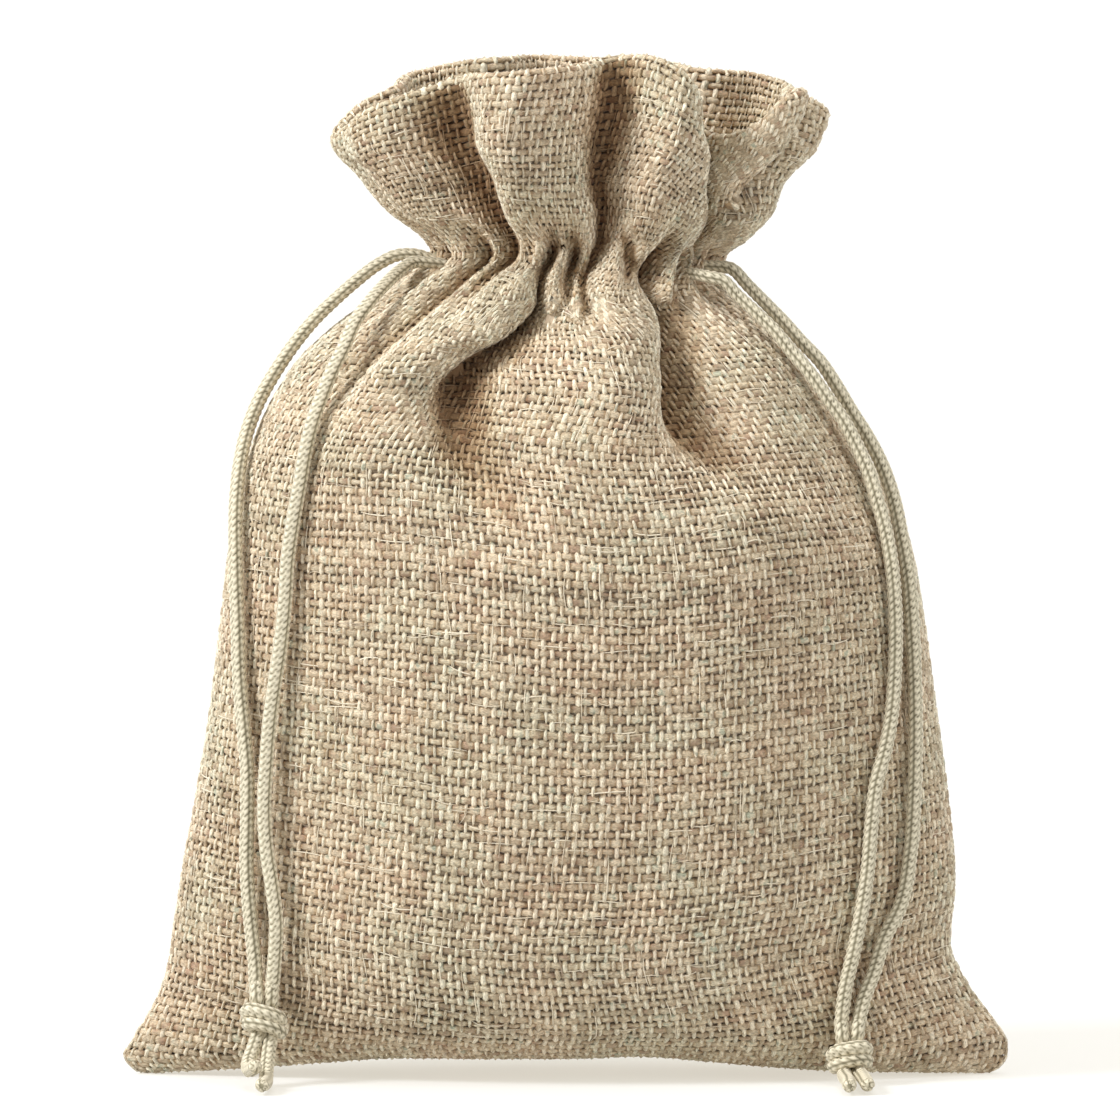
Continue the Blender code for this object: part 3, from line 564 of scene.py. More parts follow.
def noted(nodes, name):
    """A node that reads what is noted on a piece."""
    attribute = nodes.new("ShaderNodeAttribute")
    attribute.attribute_name = name
    return attribute


def multiplied(nodes, links, colour, tints):
    """A colour multiplied by the colours of other nodes."""
    for tint in tints:
        mix = nodes.new("ShaderNodeMix")
        mix.data_type, mix.blend_type = "RGBA", "MULTIPLY"
        mix.inputs["Factor"].default_value = 1.0
        links.new(colour, mix.inputs["A"])
        links.new(tint.outputs["Color"], mix.inputs["B"])
        colour = mix.outputs["Result"]
    return colour


# Painted shade: a warm darkening of the colour in the depth of a fold, which all the cloth's materials take.
fold_shade = bpy.data.node_groups.new("fold shade", "ShaderNodeTree")
fold_shade.interface.new_socket("Colour", in_out="INPUT", socket_type="NodeSocketColor")
fold_shade.interface.new_socket("Depth", in_out="INPUT", socket_type="NodeSocketFloat")
fold_shade.interface.new_socket("Shaded colour", in_out="OUTPUT", socket_type="NodeSocketColor")
nodes, links = fold_shade.nodes, fold_shade.links
way_in, way_out = nodes.new("NodeGroupInput"), nodes.new("NodeGroupOutput")
depth_tones = ramp_node(nodes, links, way_in.outputs["Depth"], HOLLOW_SHADE_TONES)
links.new(multiplied(nodes, links, way_in.outputs["Colour"], [depth_tones]), way_out.inputs["Shaded colour"])


def shaded(nodes, links, colour):
    """A colour with the painted fold shade on it."""
    shade = nodes.new("ShaderNodeGroup")
    shade.node_tree = fold_shade
    links.new(colour, shade.inputs["Colour"])
    links.new(noted(nodes, "hollow").outputs["Fac"], shade.inputs["Depth"])
    return shade.outputs["Shaded colour"]


def new_material(name, roughness, sheen=0.0):
    """A dull material with a little sheen, and its nodes, links and shader."""
    material = bpy.data.materials.new(name)
    material.use_nodes = True
    shader = material.node_tree.nodes["Principled BSDF"]
    shader.inputs["Roughness"].default_value = roughness
    shader.inputs["Specular IOR Level"].default_value = 0.25
    shader.inputs["Sheen Weight"].default_value = sheen
    shader.inputs["Sheen Roughness"].default_value = 0.5
    return material, material.node_tree.nodes, material.node_tree.links, shader


ground_material, nodes, links, shader = new_material("shaded ground cloth", 0.95)
coordinates = nodes.new("ShaderNodeTexCoord")
mottle = noise_node(nodes, links, coordinates.outputs["Object"], 900, 3)
GROUND_TONES = ((0.3, (0.52, 0.40, 0.27)), (0.7, (0.70, 0.56, 0.40)))
ground_colour = ramp_node(nodes, links, mottle.outputs["Fac"], GROUND_TONES)
links.new(shaded(nodes, links, ground_colour.outputs["Color"]), shader.inputs["Base Color"])
ground_hollow = on_cloth(hollow, ground_u, ground_rows) / HOLLOW_DEPTH
note(sack_cloth, "hollow", np.concatenate((ground_hollow, 0 * ground_hollow)))
sack_cloth.data.materials.append(ground_material)

# ------------------------------------------------------------
# The yarns: every warp end and weft pick of the plain weave, over one and under one. The ends are round and
# pale, the picks flatter, wider and browner, and both are melange yarn, uneven in thickness and colour.
FLOAT_SHARE = 0.34  # how far a float stays up on each side of a crossing
YARN_LOWEST = 0.02  # the lowest that a yarn comes to the floor
PATTERN_SHIFT = 400  # millimetres along the pattern from one yarn's start to another's, at the most
LIFT_CHANCE = 0.03  # unevenness of the yarns' height
chance = np.random.default_rng(11)


def waver(count, length, wave, size):
    """Smooth unevenness along each of a number of yarns."""
    knots = chance.normal(0, size, (count, int(length / wave) + 4))
    at = np.arange(length) / wave + chance.random((count, 1))
    i = np.floor(at).astype(int)
    t = at - i
    t = t * t * (3 - 2 * t)
    row = np.arange(count)[:, None]
    return knots[row, i] * (1 - t) + knots[row, i + 1] * t


def float_line(first, crossings):
    """Places and heights along a yarn that goes over the crossings of one parity and under the others."""
    at, high = [], []
    for crossing in range(crossings):
        if (crossing + first) % 2 == 0:
            at += [crossing + 0.5 - FLOAT_SHARE, crossing + 0.5 + FLOAT_SHARE]
            high += [1.0, 1.0]
        else:
            at.append(crossing + 0.5)
            high.append(-1.0)
    return np.array(at), np.array(high)


def make_yarns(name, u, v, lift, width, profile, material):
    """Closed tubes along lines of places on the cloth, one line to a row."""
    count, length = u.shape
    middle = on_cloth(cloth, u, v)
    up = unit(on_cloth(facing, u, v))
    middle = middle + up * lift[..., None]
    along = unit(np.gradient(middle, axis=1))
    side = unit(np.cross(along, up))
    up = np.cross(side, along)
    rings = [middle + side * (s * width)[..., None] + up * h for s, h in profile]
    points = np.stack(rings, axis=2)
    points[..., 2] = np.maximum(points[..., 2], YARN_LOWEST)
    sides = len(profile)
    start = (np.arange(count)[:, None] * length + np.arange(length - 1)[None, :]) * sides
    s = np.arange(sides)
    a, b = start[..., None] + s, start[..., None] + (s + 1) % sides
    quads = np.stack((a, b, b + sides, a + sides), axis=-1).reshape(-1, 4)
    first = np.arange(count) * length * sides
    last = first + (length - 1) * sides
    caps = [tuple(f + s[::-1]) for f in first] + [tuple(f + s) for f in last]
    thing = new_mesh_object(name, points, quads, caps)
    run = np.linalg.norm(np.diff(middle, axis=1), axis=2)
    run = np.concatenate((np.zeros((count, 1)), np.cumsum(run, axis=1)), axis=1)
    tone = chance.random((count, 1))
    place = np.zeros(points.shape)
    place[..., 0] = run[..., None] + PATTERN_SHIFT * tone[..., None]
    place[..., 1] = np.array([2 * s for s, h in profile])
    place[..., 2] = tone[..., None]
    note(thing, "yarn", place, "FLOAT_VECTOR")
    # Painted shade: how high the yarn lies, read by its material to darken it where it dips under.
    rise = np.repeat(np.sign(lift)[..., None], sides, axis=2) * (1 - 0.25 * np.abs(place[..., 1]))
    note(thing, "rise", rise)
    note(thing, "hollow", np.repeat(on_cloth(hollow, u, v) / HOLLOW_DEPTH, sides, axis=1))
    thing.data.materials.append(material)
    return thing


def melange_material(name, tones, depth):
    """Melange yarn: its tone wanders along each yarn, with fine fibres lying along it."""
    material, nodes, links, shader = new_material(name, 0.85, 0.1)
    yarn = noted(nodes, "yarn")
    stretch = nodes.new("ShaderNodeMapping")
    stretch.inputs["Scale"].default_value = (0.42, 0.25, 37.0)
    links.new(yarn.outputs["Vector"], stretch.inputs["Vector"])
    wander = noise_node(nodes, links, stretch.outputs["Vector"], 1.0, 3.0, 0.65)
    tone = ramp_node(nodes, links, wander.outputs["Fac"], tones)
    fibre_way = nodes.new("ShaderNodeMapping")
    fibre_way.inputs["Scale"].default_value = (1.6, 2.6, 61.0)
    links.new(yarn.outputs["Vector"], fibre_way.inputs["Vector"])
    fibres = noise_node(nodes, links, fibre_way.outputs["Vector"], 1.5, 3.0, 0.65)
    shade = ramp_node(nodes, links, fibres.outputs["Fac"], ((0.34, depth), (0.66, 1.25)))
    rise = noted(nodes, "rise")
    # Painted shade: the yarn is darker where it dips under a crossing.
    dip_shade = ramp_node(nodes, links, rise.outputs["Fac"], ((0.0, (0.75, 0.66, 0.56)), (0.7, (1.0, 1.0, 1.0))))
    own = nodes.new("ShaderNodeSeparateXYZ")
    links.new(yarn.outputs["Vector"], own.inputs["Vector"])
    streak = ramp_node(nodes, links, own.outputs["Z"], ((0.0, 0.86), (0.35, 1.0), (1.0, 1.1)))
    place = nodes.new("ShaderNodeTexCoord")
    cloud = noise_node(nodes, links, place.outputs["Object"], 80, 2)
    patch = ramp_node(nodes, links, cloud.outputs["Fac"], PATCH_TINTS)
    colour = multiplied(nodes, links, tone.outputs["Color"], (shade, dip_shade, streak, patch))
    links.new(shaded(nodes, links, colour), shader.inputs["Base Color"])
    bump = nodes.new("ShaderNodeBump")
    bump.inputs["Strength"].default_value = 0.5
    bump.inputs["Distance"].default_value = 0.0001
    links.new(fibres.outputs["Fac"], bump.inputs["Height"])
    links.new(bump.outputs["Normal"], shader.inputs["Normal"])
    return material


CREAM = (0.88, 0.78, 0.60)
PALE = (0.74, 0.63, 0.46)
BEIGE = (0.60, 0.49, 0.34)
TAN = (0.50, 0.39, 0.26)
PINK_BROWN = (0.42, 0.285, 0.19)
GREY_GREEN = (0.46, 0.45, 0.33)
PATCH_TINTS = ((0.35, (1.03, 0.985, 0.96)), (0.65, (0.97, 1.0, 0.985)))
WARP_TONES = ((0.32, TAN), (0.43, BEIGE), (0.5, CREAM), (0.60, CREAM), (0.68, GREY_GREEN))
WEFT_TONES = ((0.34, PINK_BROWN), (0.44, TAN), (0.52, BEIGE), (0.60, PALE), (0.67, GREY_GREEN))

# What each set of yarns is like: its width, its height on top of a crossing, its section as shares of the
# width to each side and heights, its pitch on flat cloth, and how far it spreads where the pitch is wider.
# Then its unevenness, each as a length and a size: its drift and shake to the side, and its slubs.
WARP = {
    "width": 0.76, "lift": 0.25, "section": ((-0.5, -0.12), (0.0, 0.27), (0.5, -0.12)),
    "gap": end_gap, "pitch": 130.0 / (ENDS // 2), "widest": 1.4,
    "drift": (9, 0.06), "shake": (2.5, 0.07), "slubs": (3, 0.22),
    "uneven": 0.14, "thinnest": 0.5, "thickest": 1.5,
    "material": melange_material("pale melange warp", WARP_TONES, 0.60),
}
WEFT = {
    "width": 1.20, "lift": 0.16, "section": ((-0.5, -0.14), (-0.22, 0.20), (0.22, 0.20), (0.5, -0.14)),
    "gap": pick_gap, "pitch": 1.25, "widest": 1.7,
    "drift": (10, 0.06), "shake": (2.5, 0.06), "slubs": (3, 0.16),
    "uneven": 0.10, "thinnest": 0.6, "thickest": 1.3,
    "material": melange_material("brown melange weft", WEFT_TONES, 0.58),
}


def lay_yarns(name, kind, numbers, at, high, first=0):
    """One piece of like yarns: the numbers of their lines, and the places and heights along each of them."""
    shape = (len(numbers), len(at))
    line = numbers[:, None] + 0.5 + waver(*shape, *kind["drift"]) + waver(*shape, *kind["shake"])
    run = np.repeat(first + at[None, :], len(numbers), axis=0)
    u, v = (line, run) if kind is WARP else (run, line)
    spread = np.clip(on_cloth(kind["gap"], u, v) / kind["pitch"], 0.5, kind["widest"])
    size = 1 + chance.normal(0, kind["uneven"], (len(numbers), 1)) + waver(*shape, *kind["slubs"])
    size = kind["width"] * np.clip(size, kind["thinnest"], kind["thickest"])
    lift = kind["lift"] * high * spread**0.5 + chance.normal(0, LIFT_CHANCE, shape)
    return make_yarns(name, u, v, lift, size * spread, kind["section"], kind["material"])


def warp_ends(name, numbers):
    """A run of warp ends, from the fold under the base to the hem inside the ruffle."""
    pieces = []
    for parity in (0, 1):
        at, high = float_line(parity, PICKS)
        pieces.append(lay_yarns(name + "_" * parity, WARP, numbers[numbers % 2 == parity], at, high))
    return pieces


def weft_picks(name, numbers, first_end):
    """A run of picks across one panel, whose ends turn into the side seams."""
    pieces = []
    for parity in (0, 1):
        at, high = float_line(1 - parity, half)
        at = np.concatenate(([0.02], at, [half - 0.02]))
        high = np.concatenate(([-2.0], high, [-2.0]))
        mine = numbers[numbers % 2 == parity]
        pieces.append(lay_yarns(name + "_" * parity, WEFT, mine, at, high, first_end))
    return pieces


def joined(pieces):
    """The first of the pieces, with the others joined to it."""
    bpy.ops.object.select_all(action="DESELECT")
    for piece in pieces:
        piece.select_set(True)
    bpy.context.view_layer.objects.active = pieces[0]
    bpy.ops.object.join()
    return pieces[0]


ends = np.arange(ENDS)
body_rows = np.arange(BODY_PICKS)
ruffle_rows = np.arange(BODY_PICKS, PICKS)
warp_front = joined(warp_ends("warp_front", ends[:half]))
warp_back = joined(warp_ends("warp_back", ends[half:]))
weft_front = joined(weft_picks("weft_front", body_rows, 0))
weft_back = joined(weft_picks("weft_back", body_rows, half))
weft_ruffle = weft_picks("weft_ruffle", ruffle_rows, 0)
weft_ruffle = joined(weft_ruffle + weft_picks("weft_ruffle_back", ruffle_rows, half))
yarn_pieces = [warp_front, warp_back, weft_front, weft_back, weft_ruffle]

# ------------------------------------------------------------
# The loose fibres: fine hairs of the same jute that have worked out of the yarns. They lie over the outside
# of the cloth, most of them along one set of yarns or the other.
FIBRES = 2600
FIBRE_STEPS = 4
FIBRE_WIDTH = 0.16
FIBRE_LIFT = 0.42  # over the cloth's middle
FIBRE_SECTION = ((-0.5, -0.03), (0.0, 0.05), (0.5, -0.03))
FIBRE_PICKS = (14, BODY_PICKS + RUFFLE_PICKS - 4)  # between which they lie


def stray_fibres(name):
    """Thin three-sided tubes scattered over the outside of the cloth."""
    at = np.linspace(-1, 1, FIBRE_STEPS + 1)
    along_weft = chance.random(FIBRES) < 0.55
    reach = chance.uniform(1.0, 3.2, FIBRES)[:, None] * at
    bow = chance.normal(0, 0.25, FIBRES)[:, None] * at**2 + chance.normal(0, 0.16, FIBRES)[:, None] * at
    u = chance.uniform(0, ENDS, FIBRES)[:, None] + np.where(along_weft[:, None], reach, bow)
    v = chance.uniform(*FIBRE_PICKS, FIBRES)[:, None] + np.where(along_weft[:, None], bow, reach)
    lift = FIBRE_LIFT * (1 - 0.9 * np.abs(at) ** 3) + chance.normal(0, 0.05, u.shape)
    width = FIBRE_WIDTH * chance.uniform(0.6, 1.4, (FIBRES, 1)) * (1 - 0.5 * at**2)
    return make_yarns(name, u, v, lift, width, FIBRE_SECTION, fibre_material)


fibre_material, nodes, links, shader = new_material("pale loose fibres", 0.8, 0.1)
own_tone = nodes.new("ShaderNodeSeparateXYZ")
links.new(noted(nodes, "yarn").outputs["Vector"], own_tone.inputs["Vector"])
FIBRE_TONES = ((0.0, (0.34, 0.24, 0.16)), (0.18, PALE), (0.7, CREAM))
fibre_colour = ramp_node(nodes, links, own_tone.outputs["Z"], FIBRE_TONES)
links.new(shaded(nodes, links, fibre_colour.outputs["Color"]), shader.inputs["Base Color"])
loose_fibres = stray_fibres("loose_fibres")
yarn_pieces.append(loose_fibres)

# All of these are one sheet of cloth, which is drawn up at the neck.
for piece in (sack_cloth, *yarn_pieces):
    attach(piece, "root")
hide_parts("sack")

# ------------------------------------------------------------
# The drawstrings: a loop of soft braided round cord at each side. Its two strands come out of the casing,
# hang over the shoulder and are tied together in one overhand knot, which leaves two short free ends.
CORD = 2.2  # diameter
CORD_STEP = 0.25  # distance between the rings of a strand
CORD_SIDES = 22  # points to a ring
BRAID_COLUMNS = 6  # columns of stitches round the cord
BRAID_PITCH = 1.05  # length of a stitch
BRAID_RELIEF = 0.20  # share of the radius by which the stitches stand out
CORD_TIP = 1.5  # over which an end is rounded off
CORD_GROWTH = 40  # over which a strand grows from a thinner start

# The way of each strand over the cloth, from the casing down to its knot.
STRANDS = {
    "cord_left_outer": (
        (-22.1, 0.5, 120), (-24.4, 0.5, 119.9), (-27.2, 0.4, 118.6), (-30.4, 0.2, 116.2), (-33.6, 0, 113.4),
        (-36.4, -0.2, 110.7), (-39.1, -0.5, 107.5), (-41.9, -1.2, 103.5), (-44.5, -2.4, 99),
        (-46.3, -4.3, 94.4), (-47.3, -6.7, 89.8), (-47.8, -9.2, 84.6), (-47.8, -11.8, 76),
        (-47.5, -13.1, 67.3), (-47.2, -14, 58.6), (-46.6, -15, 52), (-46.1, -15.5, 46), (-46.1, -15.5, 38.7),
        (-46.2, -15.3, 32.4), (-45.9, -15.2, 26.6), (-45.4, -15, 21.4), (-45, -14.8, 17.4),
        (-44.9, -14.8, 14.4),
    ),
    "cord_left_inner": (
        (-22.3, -3, 119), (-23.8, -4.6, 118.1), (-25.9, -8, 116.3), (-28.1, -11.6, 114), (-30.4, -14.2, 111),
        (-32, -16.2, 107.4), (-33.8, -17.7, 103.8), (-35.2, -18.6, 100.3), (-36.5, -19.7, 96.7),
        (-37.5, -20.2, 92.6), (-38.3, -20.5, 87.9), (-39.1, -20.5, 83.5), (-40.1, -20.2, 77),
        (-40.5, -19.9, 70.7), (-41.1, -19.3, 64.9), (-42, -18.7, 59), (-42.8, -18.1, 53.1),
        (-43.3, -17.6, 47), (-43.6, -17.3, 40), (-43.2, -17.2, 34), (-42.4, -17.2, 28.6), (-41.9, -17, 23.8),
        (-42.1, -16.2, 19), (-42.5, -15.6, 14.4),
    ),
    "cord_right_outer": (
        (24.2, -5, 118.2), (26.5, -5.4, 115.9), (29.4, -6.4, 113), (31.5, -7.2, 110.9), (34.1, -7.9, 108),
        (37.2, -8.2, 104.7), (39.4, -8.4, 101.4), (41.7, -8.5, 97.5), (43.8, -8.8, 94.2), (46.2, -9.4, 89.5),
        (47.7, -10, 85.1), (48.8, -10.7, 80), (49.9, -11.4, 73.6), (50.4, -11.9, 67.2), (50.9, -12.5, 55.6),
        (50.9, -13, 48), (50.7, -13.2, 41.1), (50.2, -13.3, 33.8), (48.9, -13.6, 26.5), (46.2, -14.1, 20.7),
        (44.9, -14.3, 16.4), (43.4, -14.5, 12.4), (42.6, -14.6, 8.8),
    ),
    "cord_right_inner": (
        (20.9, -10.9, 117.3), (22.7, -10.9, 116.9), (24.9, -10.6, 114.7), (27.6, -10.9, 112.2),
        (30.6, -11.5, 109.3), (33, -11.8, 106.3), (35.6, -12.2, 103.3), (38.2, -12.2, 99.6),
        (40.2, -12.2, 96.8), (42.3, -12.3, 92.9), (44, -12.8, 89.1), (45.3, -13.4, 84.9), (46.6, -13.9, 80),
        (47.4, -14.6, 75.2), (47.8, -15, 70.4), (47.8, -15.5, 60), (47.3, -16.2, 53.8), (46.4, -16.9, 49),
        (45.2, -17.4, 44.6), (44.4, -17.3, 38), (43.9, -17, 31.6), (43.1, -16.8, 26), (41.9, -16.2, 19.6),
        (40.7, -15.5, 14), (40.1, -14.8, 8.8),
    ),
}


def smooth_route(points, spacing):
    """Evenly spaced points along the smooth curve through a route's points."""
    points = np.array(points, dtype=float)
    along = np.concatenate(([0.0], np.cumsum(np.linalg.norm(np.diff(points, axis=0), axis=1))))
    tangents = np.gradient(points, along, axis=0)
    fine = np.linspace(0, along[-1], 40 * len(points))
    i = np.clip(np.searchsorted(along, fine, side="right") - 1, 0, len(along) - 2)
    run = (along[i + 1] - along[i])[:, None]
    t = (fine - along[i])[:, None] / run
    start = (1 + 2 * t) * (1 - t) ** 2 * points[i] + t * (1 - t) ** 2 * run * tangents[i]
    curve = start + t**2 * (3 - 2 * t) * points[i + 1] + t**2 * (t - 1) * run * tangents[i + 1]
    length = np.concatenate(([0.0], np.cumsum(np.linalg.norm(np.diff(curve, axis=0), axis=1))))
    count = max(2, round(length[-1] / spacing) + 1)
    even = np.linspace(0, length[-1], count)
    return np.stack([np.interp(even, length, curve[:, k]) for k in range(3)], axis=1)


# The last of each strand inside the casing, behind the cloth.
CASING = {
    "cord_left_outer": ((-15.5, 0.6, 118.6), (-19.0, 0.6, 119.2)),
    "cord_left_inner": ((-15.8, -1.8, 118.4), (-19.4, -2.2, 118.9)),
    "cord_right_outer": ((18.4, -2.8, 118.4), (21.6, -4.0, 118.5)),
    "cord_right_inner": ((16.2, -6.4, 117.6), (19.0, -9.2, 117.6)),
}


def braid_tube(name, routes, material, thin_start=1.0, thin_end=0.4):
    """Braided cord along each route: columns of stitches whose two legs meet in a V, and a rounded end."""
    points, quads, caps, places = [], [], [], []
    count = 0
    for route in routes:
        line = smooth_route(route, CORD_STEP)
        along = unit(np.gradient(line, axis=0))
        side = np.cross(along[0], (0.0, 1.0, 0.0))
        s = np.arange(len(line)) * CORD_STEP
        turn = np.arange(CORD_SIDES) / CORD_SIDES
        stitch = turn * BRAID_COLUMNS
        leg = np.abs(stitch % 1 - 0.5) * 2
        shift = 0.5 * (np.floor(stitch) % 2)
        phase = (s[:, None] / BRAID_PITCH + shift + 0.6 * leg[None, :]) % 1
        ridge = 1 - (2 * phase - 1) ** 2
        relief = np.clip(ridge * (1 - 0.85 * leg[None, :] ** 5), 0, 1) ** 0.7
        radius = CORD / 2 * (1 - BRAID_RELIEF + BRAID_RELIEF * relief)
        taper = thin_start + (1 - thin_start) * np.clip(s / CORD_GROWTH, 0, 1)
        tip = np.clip((s[-1] - s) / CORD_TIP, 0, 1)
        taper *= thin_end + (1 - thin_end) * np.sqrt(1 - (1 - tip) ** 2)
        radius *= taper[:, None]
        for k in range(len(line)):
            side = unit(side - along[k] * np.dot(side, along[k]))
            front = np.cross(side, along[k])
            way = np.outer(np.sin(2 * math.pi * turn), side) + np.outer(np.cos(2 * math.pi * turn), front)
            points.append(line[k] + radius[k][:, None] * way)
        for k in range(len(line) - 1):
            quads.append(ring_quads(count + k * CORD_SIDES, count + (k + 1) * CORD_SIDES, CORD_SIDES))
        m = np.arange(CORD_SIDES)
        caps += [tuple(count + m[::-1]), tuple(count + (len(line) - 1) * CORD_SIDES + m)]
        down, across = np.repeat(s[:, None], CORD_SIDES, 1), np.repeat(stitch[None, :], len(line), 0)
        places.append(np.stack((down, across, relief), axis=-1).reshape(-1, 3))
        count += len(line) * CORD_SIDES
    thing = new_mesh_object(name, np.array(points), np.concatenate(quads), caps)
    note(thing, "braid", np.concatenate(places), "FLOAT_VECTOR")
    thing.data.materials.append(material)
    return thing


cord_material, nodes, links, shader = new_material("braided cord", 0.6, 0.15)
relief = nodes.new("ShaderNodeSeparateXYZ")
links.new(noted(nodes, "braid").outputs["Vector"], relief.inputs["Vector"])
# Painted shade: the cord's colour darkens from the stitches' tops down into the holes between them.
BRAID_TONES_AND_SHADE = (  # from the holes between the stitches to their tops
    (0.0, (0.11, 0.09, 0.05)),
    (0.35, (0.32, 0.28, 0.18)),
    (0.66, (0.60, 0.53, 0.38)),
    (0.96, (0.86, 0.78, 0.59)),
)
cord_colour = ramp_node(nodes, links, relief.outputs["Z"], BRAID_TONES_AND_SHADE)
links.new(cord_colour.outputs["Color"], shader.inputs["Base Color"])

# The way of each strand through a knot, in cord diameters from its middle: to the right, forward and up.
KNOT_STRANDS = (
    (
        (-0.5, 0.1, 1.2), (-0.2, -0.5, 0.3), (0.5, -0.9, -0.2), (1.1, -0.2, 0), (0.9, 0.7, 0.35),
        (0, 1.1, 0.5), (-0.9, 0.7, 0.45), (-1.2, -0.1, 0.1), (-0.6, -0.6, -0.4), (-0.4, 0.1, -1),
    ),
    (
        (0.5, 0, 1.2), (0.3, -0.5, 0.2), (0.7, -0.8, -0.6), (1.15, -0.1, -0.75), (0.8, 0.75, -0.45),
        (0, 1.05, -0.35), (-0.85, 0.7, -0.45), (-1.05, -0.2, -0.7), (-0.2, -0.6, -0.8), (0.4, 0.1, -1.1),
    ),
)

# Each knot: its middle, how tight and how tilted it is, its strands, and the ways of its two free ends.
KNOTS = {
    "knot_left": {
        "middle": (-43.7, -15.4, 9.8),
        "tightness": 0.95,
        "tilt": -0.22,
        "strands": ("cord_left_outer", "cord_left_inner"),
        "ends": (
            (
                (-45.2, -16.8, 5.6), (-45.9, -18.2, 3.7), (-45.8, -20.6, 2.8), (-45.2, -23.4, 3.3),
                (-44.6, -26.2, 4),
            ),
            (
                (-43, -17, 5.2), (-43.2, -18.6, 3.2), (-43.3, -21, 1.7), (-43.3, -25.2, 1.5),
                (-43.8, -30.4, 1.5),
            ),
        ),
    },
    "knot_right": {
        "middle": (41.4, -15.2, 4.5),
        "tightness": 0.95,
        "tilt": 0.22,
        "strands": ("cord_right_inner", "cord_right_outer"),
        "ends": (
            ((40.5, -17.6, 1.8), (40.7, -20.0, 1.5), (41.0, -24.6, 1.5), (41.0, -30.8, 1.5)),
            ((42.9, -17.6, 1.8), (43.3, -20.0, 1.5), (43.5, -24.6, 1.5), (43.7, -29.6, 1.5)),
        ),
    },
}
JOIN = -0.5  # how far a knot's skin starts above the end of its strand, inside it


def knot_routes(knot):
    """The two routes inside a knot: from under its strand's end, round the knot and out along a free end."""
    routes = []
    for strand, turns, end in zip(knot["strands"], KNOT_STRANDS, knot["ends"]):
        top = np.array(STRANDS[strand][-1]) - np.array((0, 0, JOIN))
        size = CORD * knot["tightness"]
        middle = np.array(knot["middle"])
        tilt = knot["tilt"]
        turns = np.array([(side, -front, up + tilt * side) for side, front, up in turns])
        inside = [tuple(place) for place in middle + size * turns]
        routes.append([tuple(top), *inside, *end])
    return routes


for knot_name, knot in KNOTS.items():
    tied = braid_tube("tied_" + knot_name, knot_routes(knot), cord_material)
    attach(tied, "root")
    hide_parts(knot_name)
    for strand_name in knot["strands"]:
        route = (*CASING[strand_name], *STRANDS[strand_name])
        strand = braid_tube("braided_" + strand_name, [route], cord_material, 0.84, 0.9)
        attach(strand, "root")
        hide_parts(strand_name)

# ------------------------------------------------------------
# The setting: a plain pale floor that curves up behind, soft studio light from the upper left, and the
# camera, a little above the pouch's middle and far off through a long lens.
FLOOR_WIDTH, FLOOR_FRONT, FLOOR_BACK = 3000, -900, 400
COVE, COVE_STEPS, BACKDROP_TOP = 500, 12, 1800  # the curve from the floor to the backdrop, and its height

bpy.ops.object.select_all(action="DESELECT")
bpy.ops.mesh.primitive_plane_add(size=1, location=(0, (FLOOR_FRONT + FLOOR_BACK) / 2 * MM, 0))
floor = bpy.context.object
floor.name = floor.data.name = "floor"
floor.scale = (FLOOR_WIDTH * MM, (FLOOR_BACK - FLOOR_FRONT) * MM, 1)
bpy.ops.object.transform_apply(location=True, rotation=True, scale=True)
bpy.ops.object.mode_set(mode="EDIT")
bpy.ops.mesh.select_mode(type="EDGE")
bpy.ops.mesh.select_all(action="DESELECT")
bpy.ops.object.mode_set(mode="OBJECT")
for border in floor.data.edges:
    border.select = all(floor.data.vertices[i].co.y > (FLOOR_BACK - 1) * MM for i in border.vertices)
bpy.ops.object.mode_set(mode="EDIT")
bpy.ops.mesh.spin(
    steps=COVE_STEPS, angle=-math.pi / 2, center=(0, FLOOR_BACK * MM, COVE * MM), axis=(1, 0, 0)
)
bpy.ops.mesh.extrude_region_move(TRANSFORM_OT_translate={"value": (0, 0, (BACKDROP_TOP - COVE) * MM)})
bpy.ops.mesh.select_all(action="SELECT")
bpy.ops.mesh.normals_make_consistent(inside=True)  # the faces look towards the pouch
bpy.ops.object.mode_set(mode="OBJECT")
floor.data.shade_smooth()


def brightness(nodes, links, as_light, to_look_at):
    """A brightness that is lower as a light on the pouch than it is to look at."""
    ray = nodes.new("ShaderNodeLightPath")
    chosen = nodes.new("ShaderNodeMapRange")
    chosen.inputs["To Min"].default_value = as_light
    chosen.inputs["To Max"].default_value = to_look_at
    links.new(ray.outputs["Is Camera Ray"], chosen.inputs["Value"])
    return ray, chosen.outputs["Result"]


floor_material, nodes, links, shader = new_material("pale floor", 0.8)
shader.inputs["Base Color"].default_value = (0.38, 0.39, 0.40, 1)
shader.inputs["Emission Color"].default_value = (1.0, 0.95, 0.84, 1)
ray, glow = brightness(nodes, links, 0.36, 0.60)
links.new(glow, shader.inputs["Emission Strength"])
side = nodes.new("ShaderNodeNewGeometry")  # seen from behind, the backdrop is left out of the picture
hidden = nodes.new("ShaderNodeMath")
hidden.operation = "MULTIPLY"
links.new(ray.outputs["Is Camera Ray"], hidden.inputs[0])
links.new(side.outputs["Backfacing"], hidden.inputs[1])
shown = nodes.new("ShaderNodeMath")
shown.operation = "SUBTRACT"
shown.inputs[0].default_value = 1.0
links.new(hidden.outputs[0], shown.inputs[1])
links.new(shown.outputs[0], shader.inputs["Alpha"])
floor.data.materials.append(floor_material)


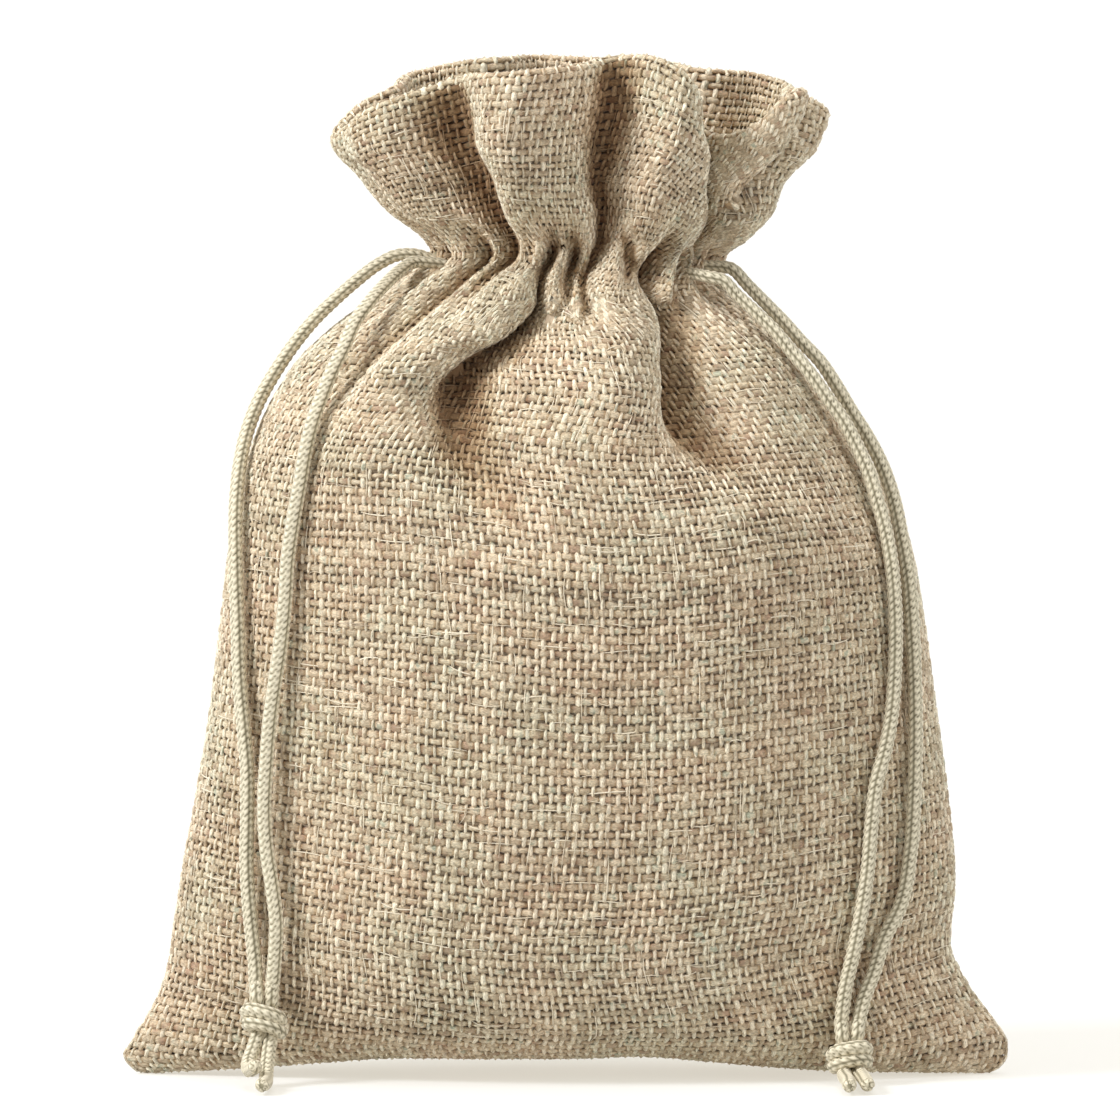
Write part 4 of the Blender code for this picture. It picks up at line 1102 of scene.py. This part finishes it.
def soft_lamp(name, place, aim, size, power, colour=(1, 1, 1)):
    """A square soft box at a place, turned to its aim."""
    lamp = bpy.data.lights.new(name, "AREA")
    lamp.shape = "SQUARE"
    lamp.size = size * MM
    lamp.energy = power
    lamp.color = colour
    thing = bpy.data.objects.new(name, lamp)
    bpy.context.scene.collection.objects.link(thing)
    thing.location = Vector(place) * MM
    thing.rotation_mode = "QUATERNION"
    thing.rotation_quaternion = (Vector(aim) * MM - thing.location).to_track_quat("-Z", "Y")


DAYLIGHT = (0.98, 1.0, 1.04)
soft_lamp("key", place=(-1140, -560, 960), aim=(0, 0, 70), size=450, power=23.0, colour=DAYLIGHT)
soft_lamp("fill", place=(1150, -950, 550), aim=(0, 0, 60), size=900, power=6.0, colour=DAYLIGHT)
soft_lamp("top", place=(100, -100, 1300), aim=(0, 0, 60), size=900, power=8.5)

world = bpy.data.worlds.new("soft room")
bpy.context.scene.world = world
world.use_nodes = True
world.node_tree.nodes["Background"].inputs["Color"].default_value = (0.98, 0.99, 1.0, 1)
nodes, links = world.node_tree.nodes, world.node_tree.links
ray, room = brightness(nodes, links, 0.37, 1.1)
links.new(room, nodes["Background"].inputs["Strength"])

PIXEL = 0.146  # millimetres at the pouch for each of the picture's 1120 pixels
PHOTO_WIDTH = 1120 * PIXEL
VIEW_MIDDLE = ((560 - 565) * PIXEL, (1075 - 560) * PIXEL)  # middle of the view: x, and height in the picture
CAMERA_ELEVATION = 0.07  # radians
CAMERA_FAR = 2000.0
lens = bpy.data.cameras.new("camera")
lens.sensor_width = 36.0
lens.lens = 36.0 * CAMERA_FAR / PHOTO_WIDTH
lens.clip_start, lens.clip_end = 0.05, 20.0
camera = bpy.data.objects.new("camera", lens)
bpy.context.scene.collection.objects.link(camera)
aim = Vector((VIEW_MIDDLE[0], 0.0, VIEW_MIDDLE[1] / math.cos(CAMERA_ELEVATION)))
back = Vector((0.0, -math.cos(CAMERA_ELEVATION), math.sin(CAMERA_ELEVATION)))
camera.location = (aim + back * CAMERA_FAR) * MM
camera.rotation_euler = (math.pi / 2 - CAMERA_ELEVATION, 0.0, 0.0)
bpy.context.scene.camera = camera
bpy.context.scene.view_settings.view_transform = "Standard"
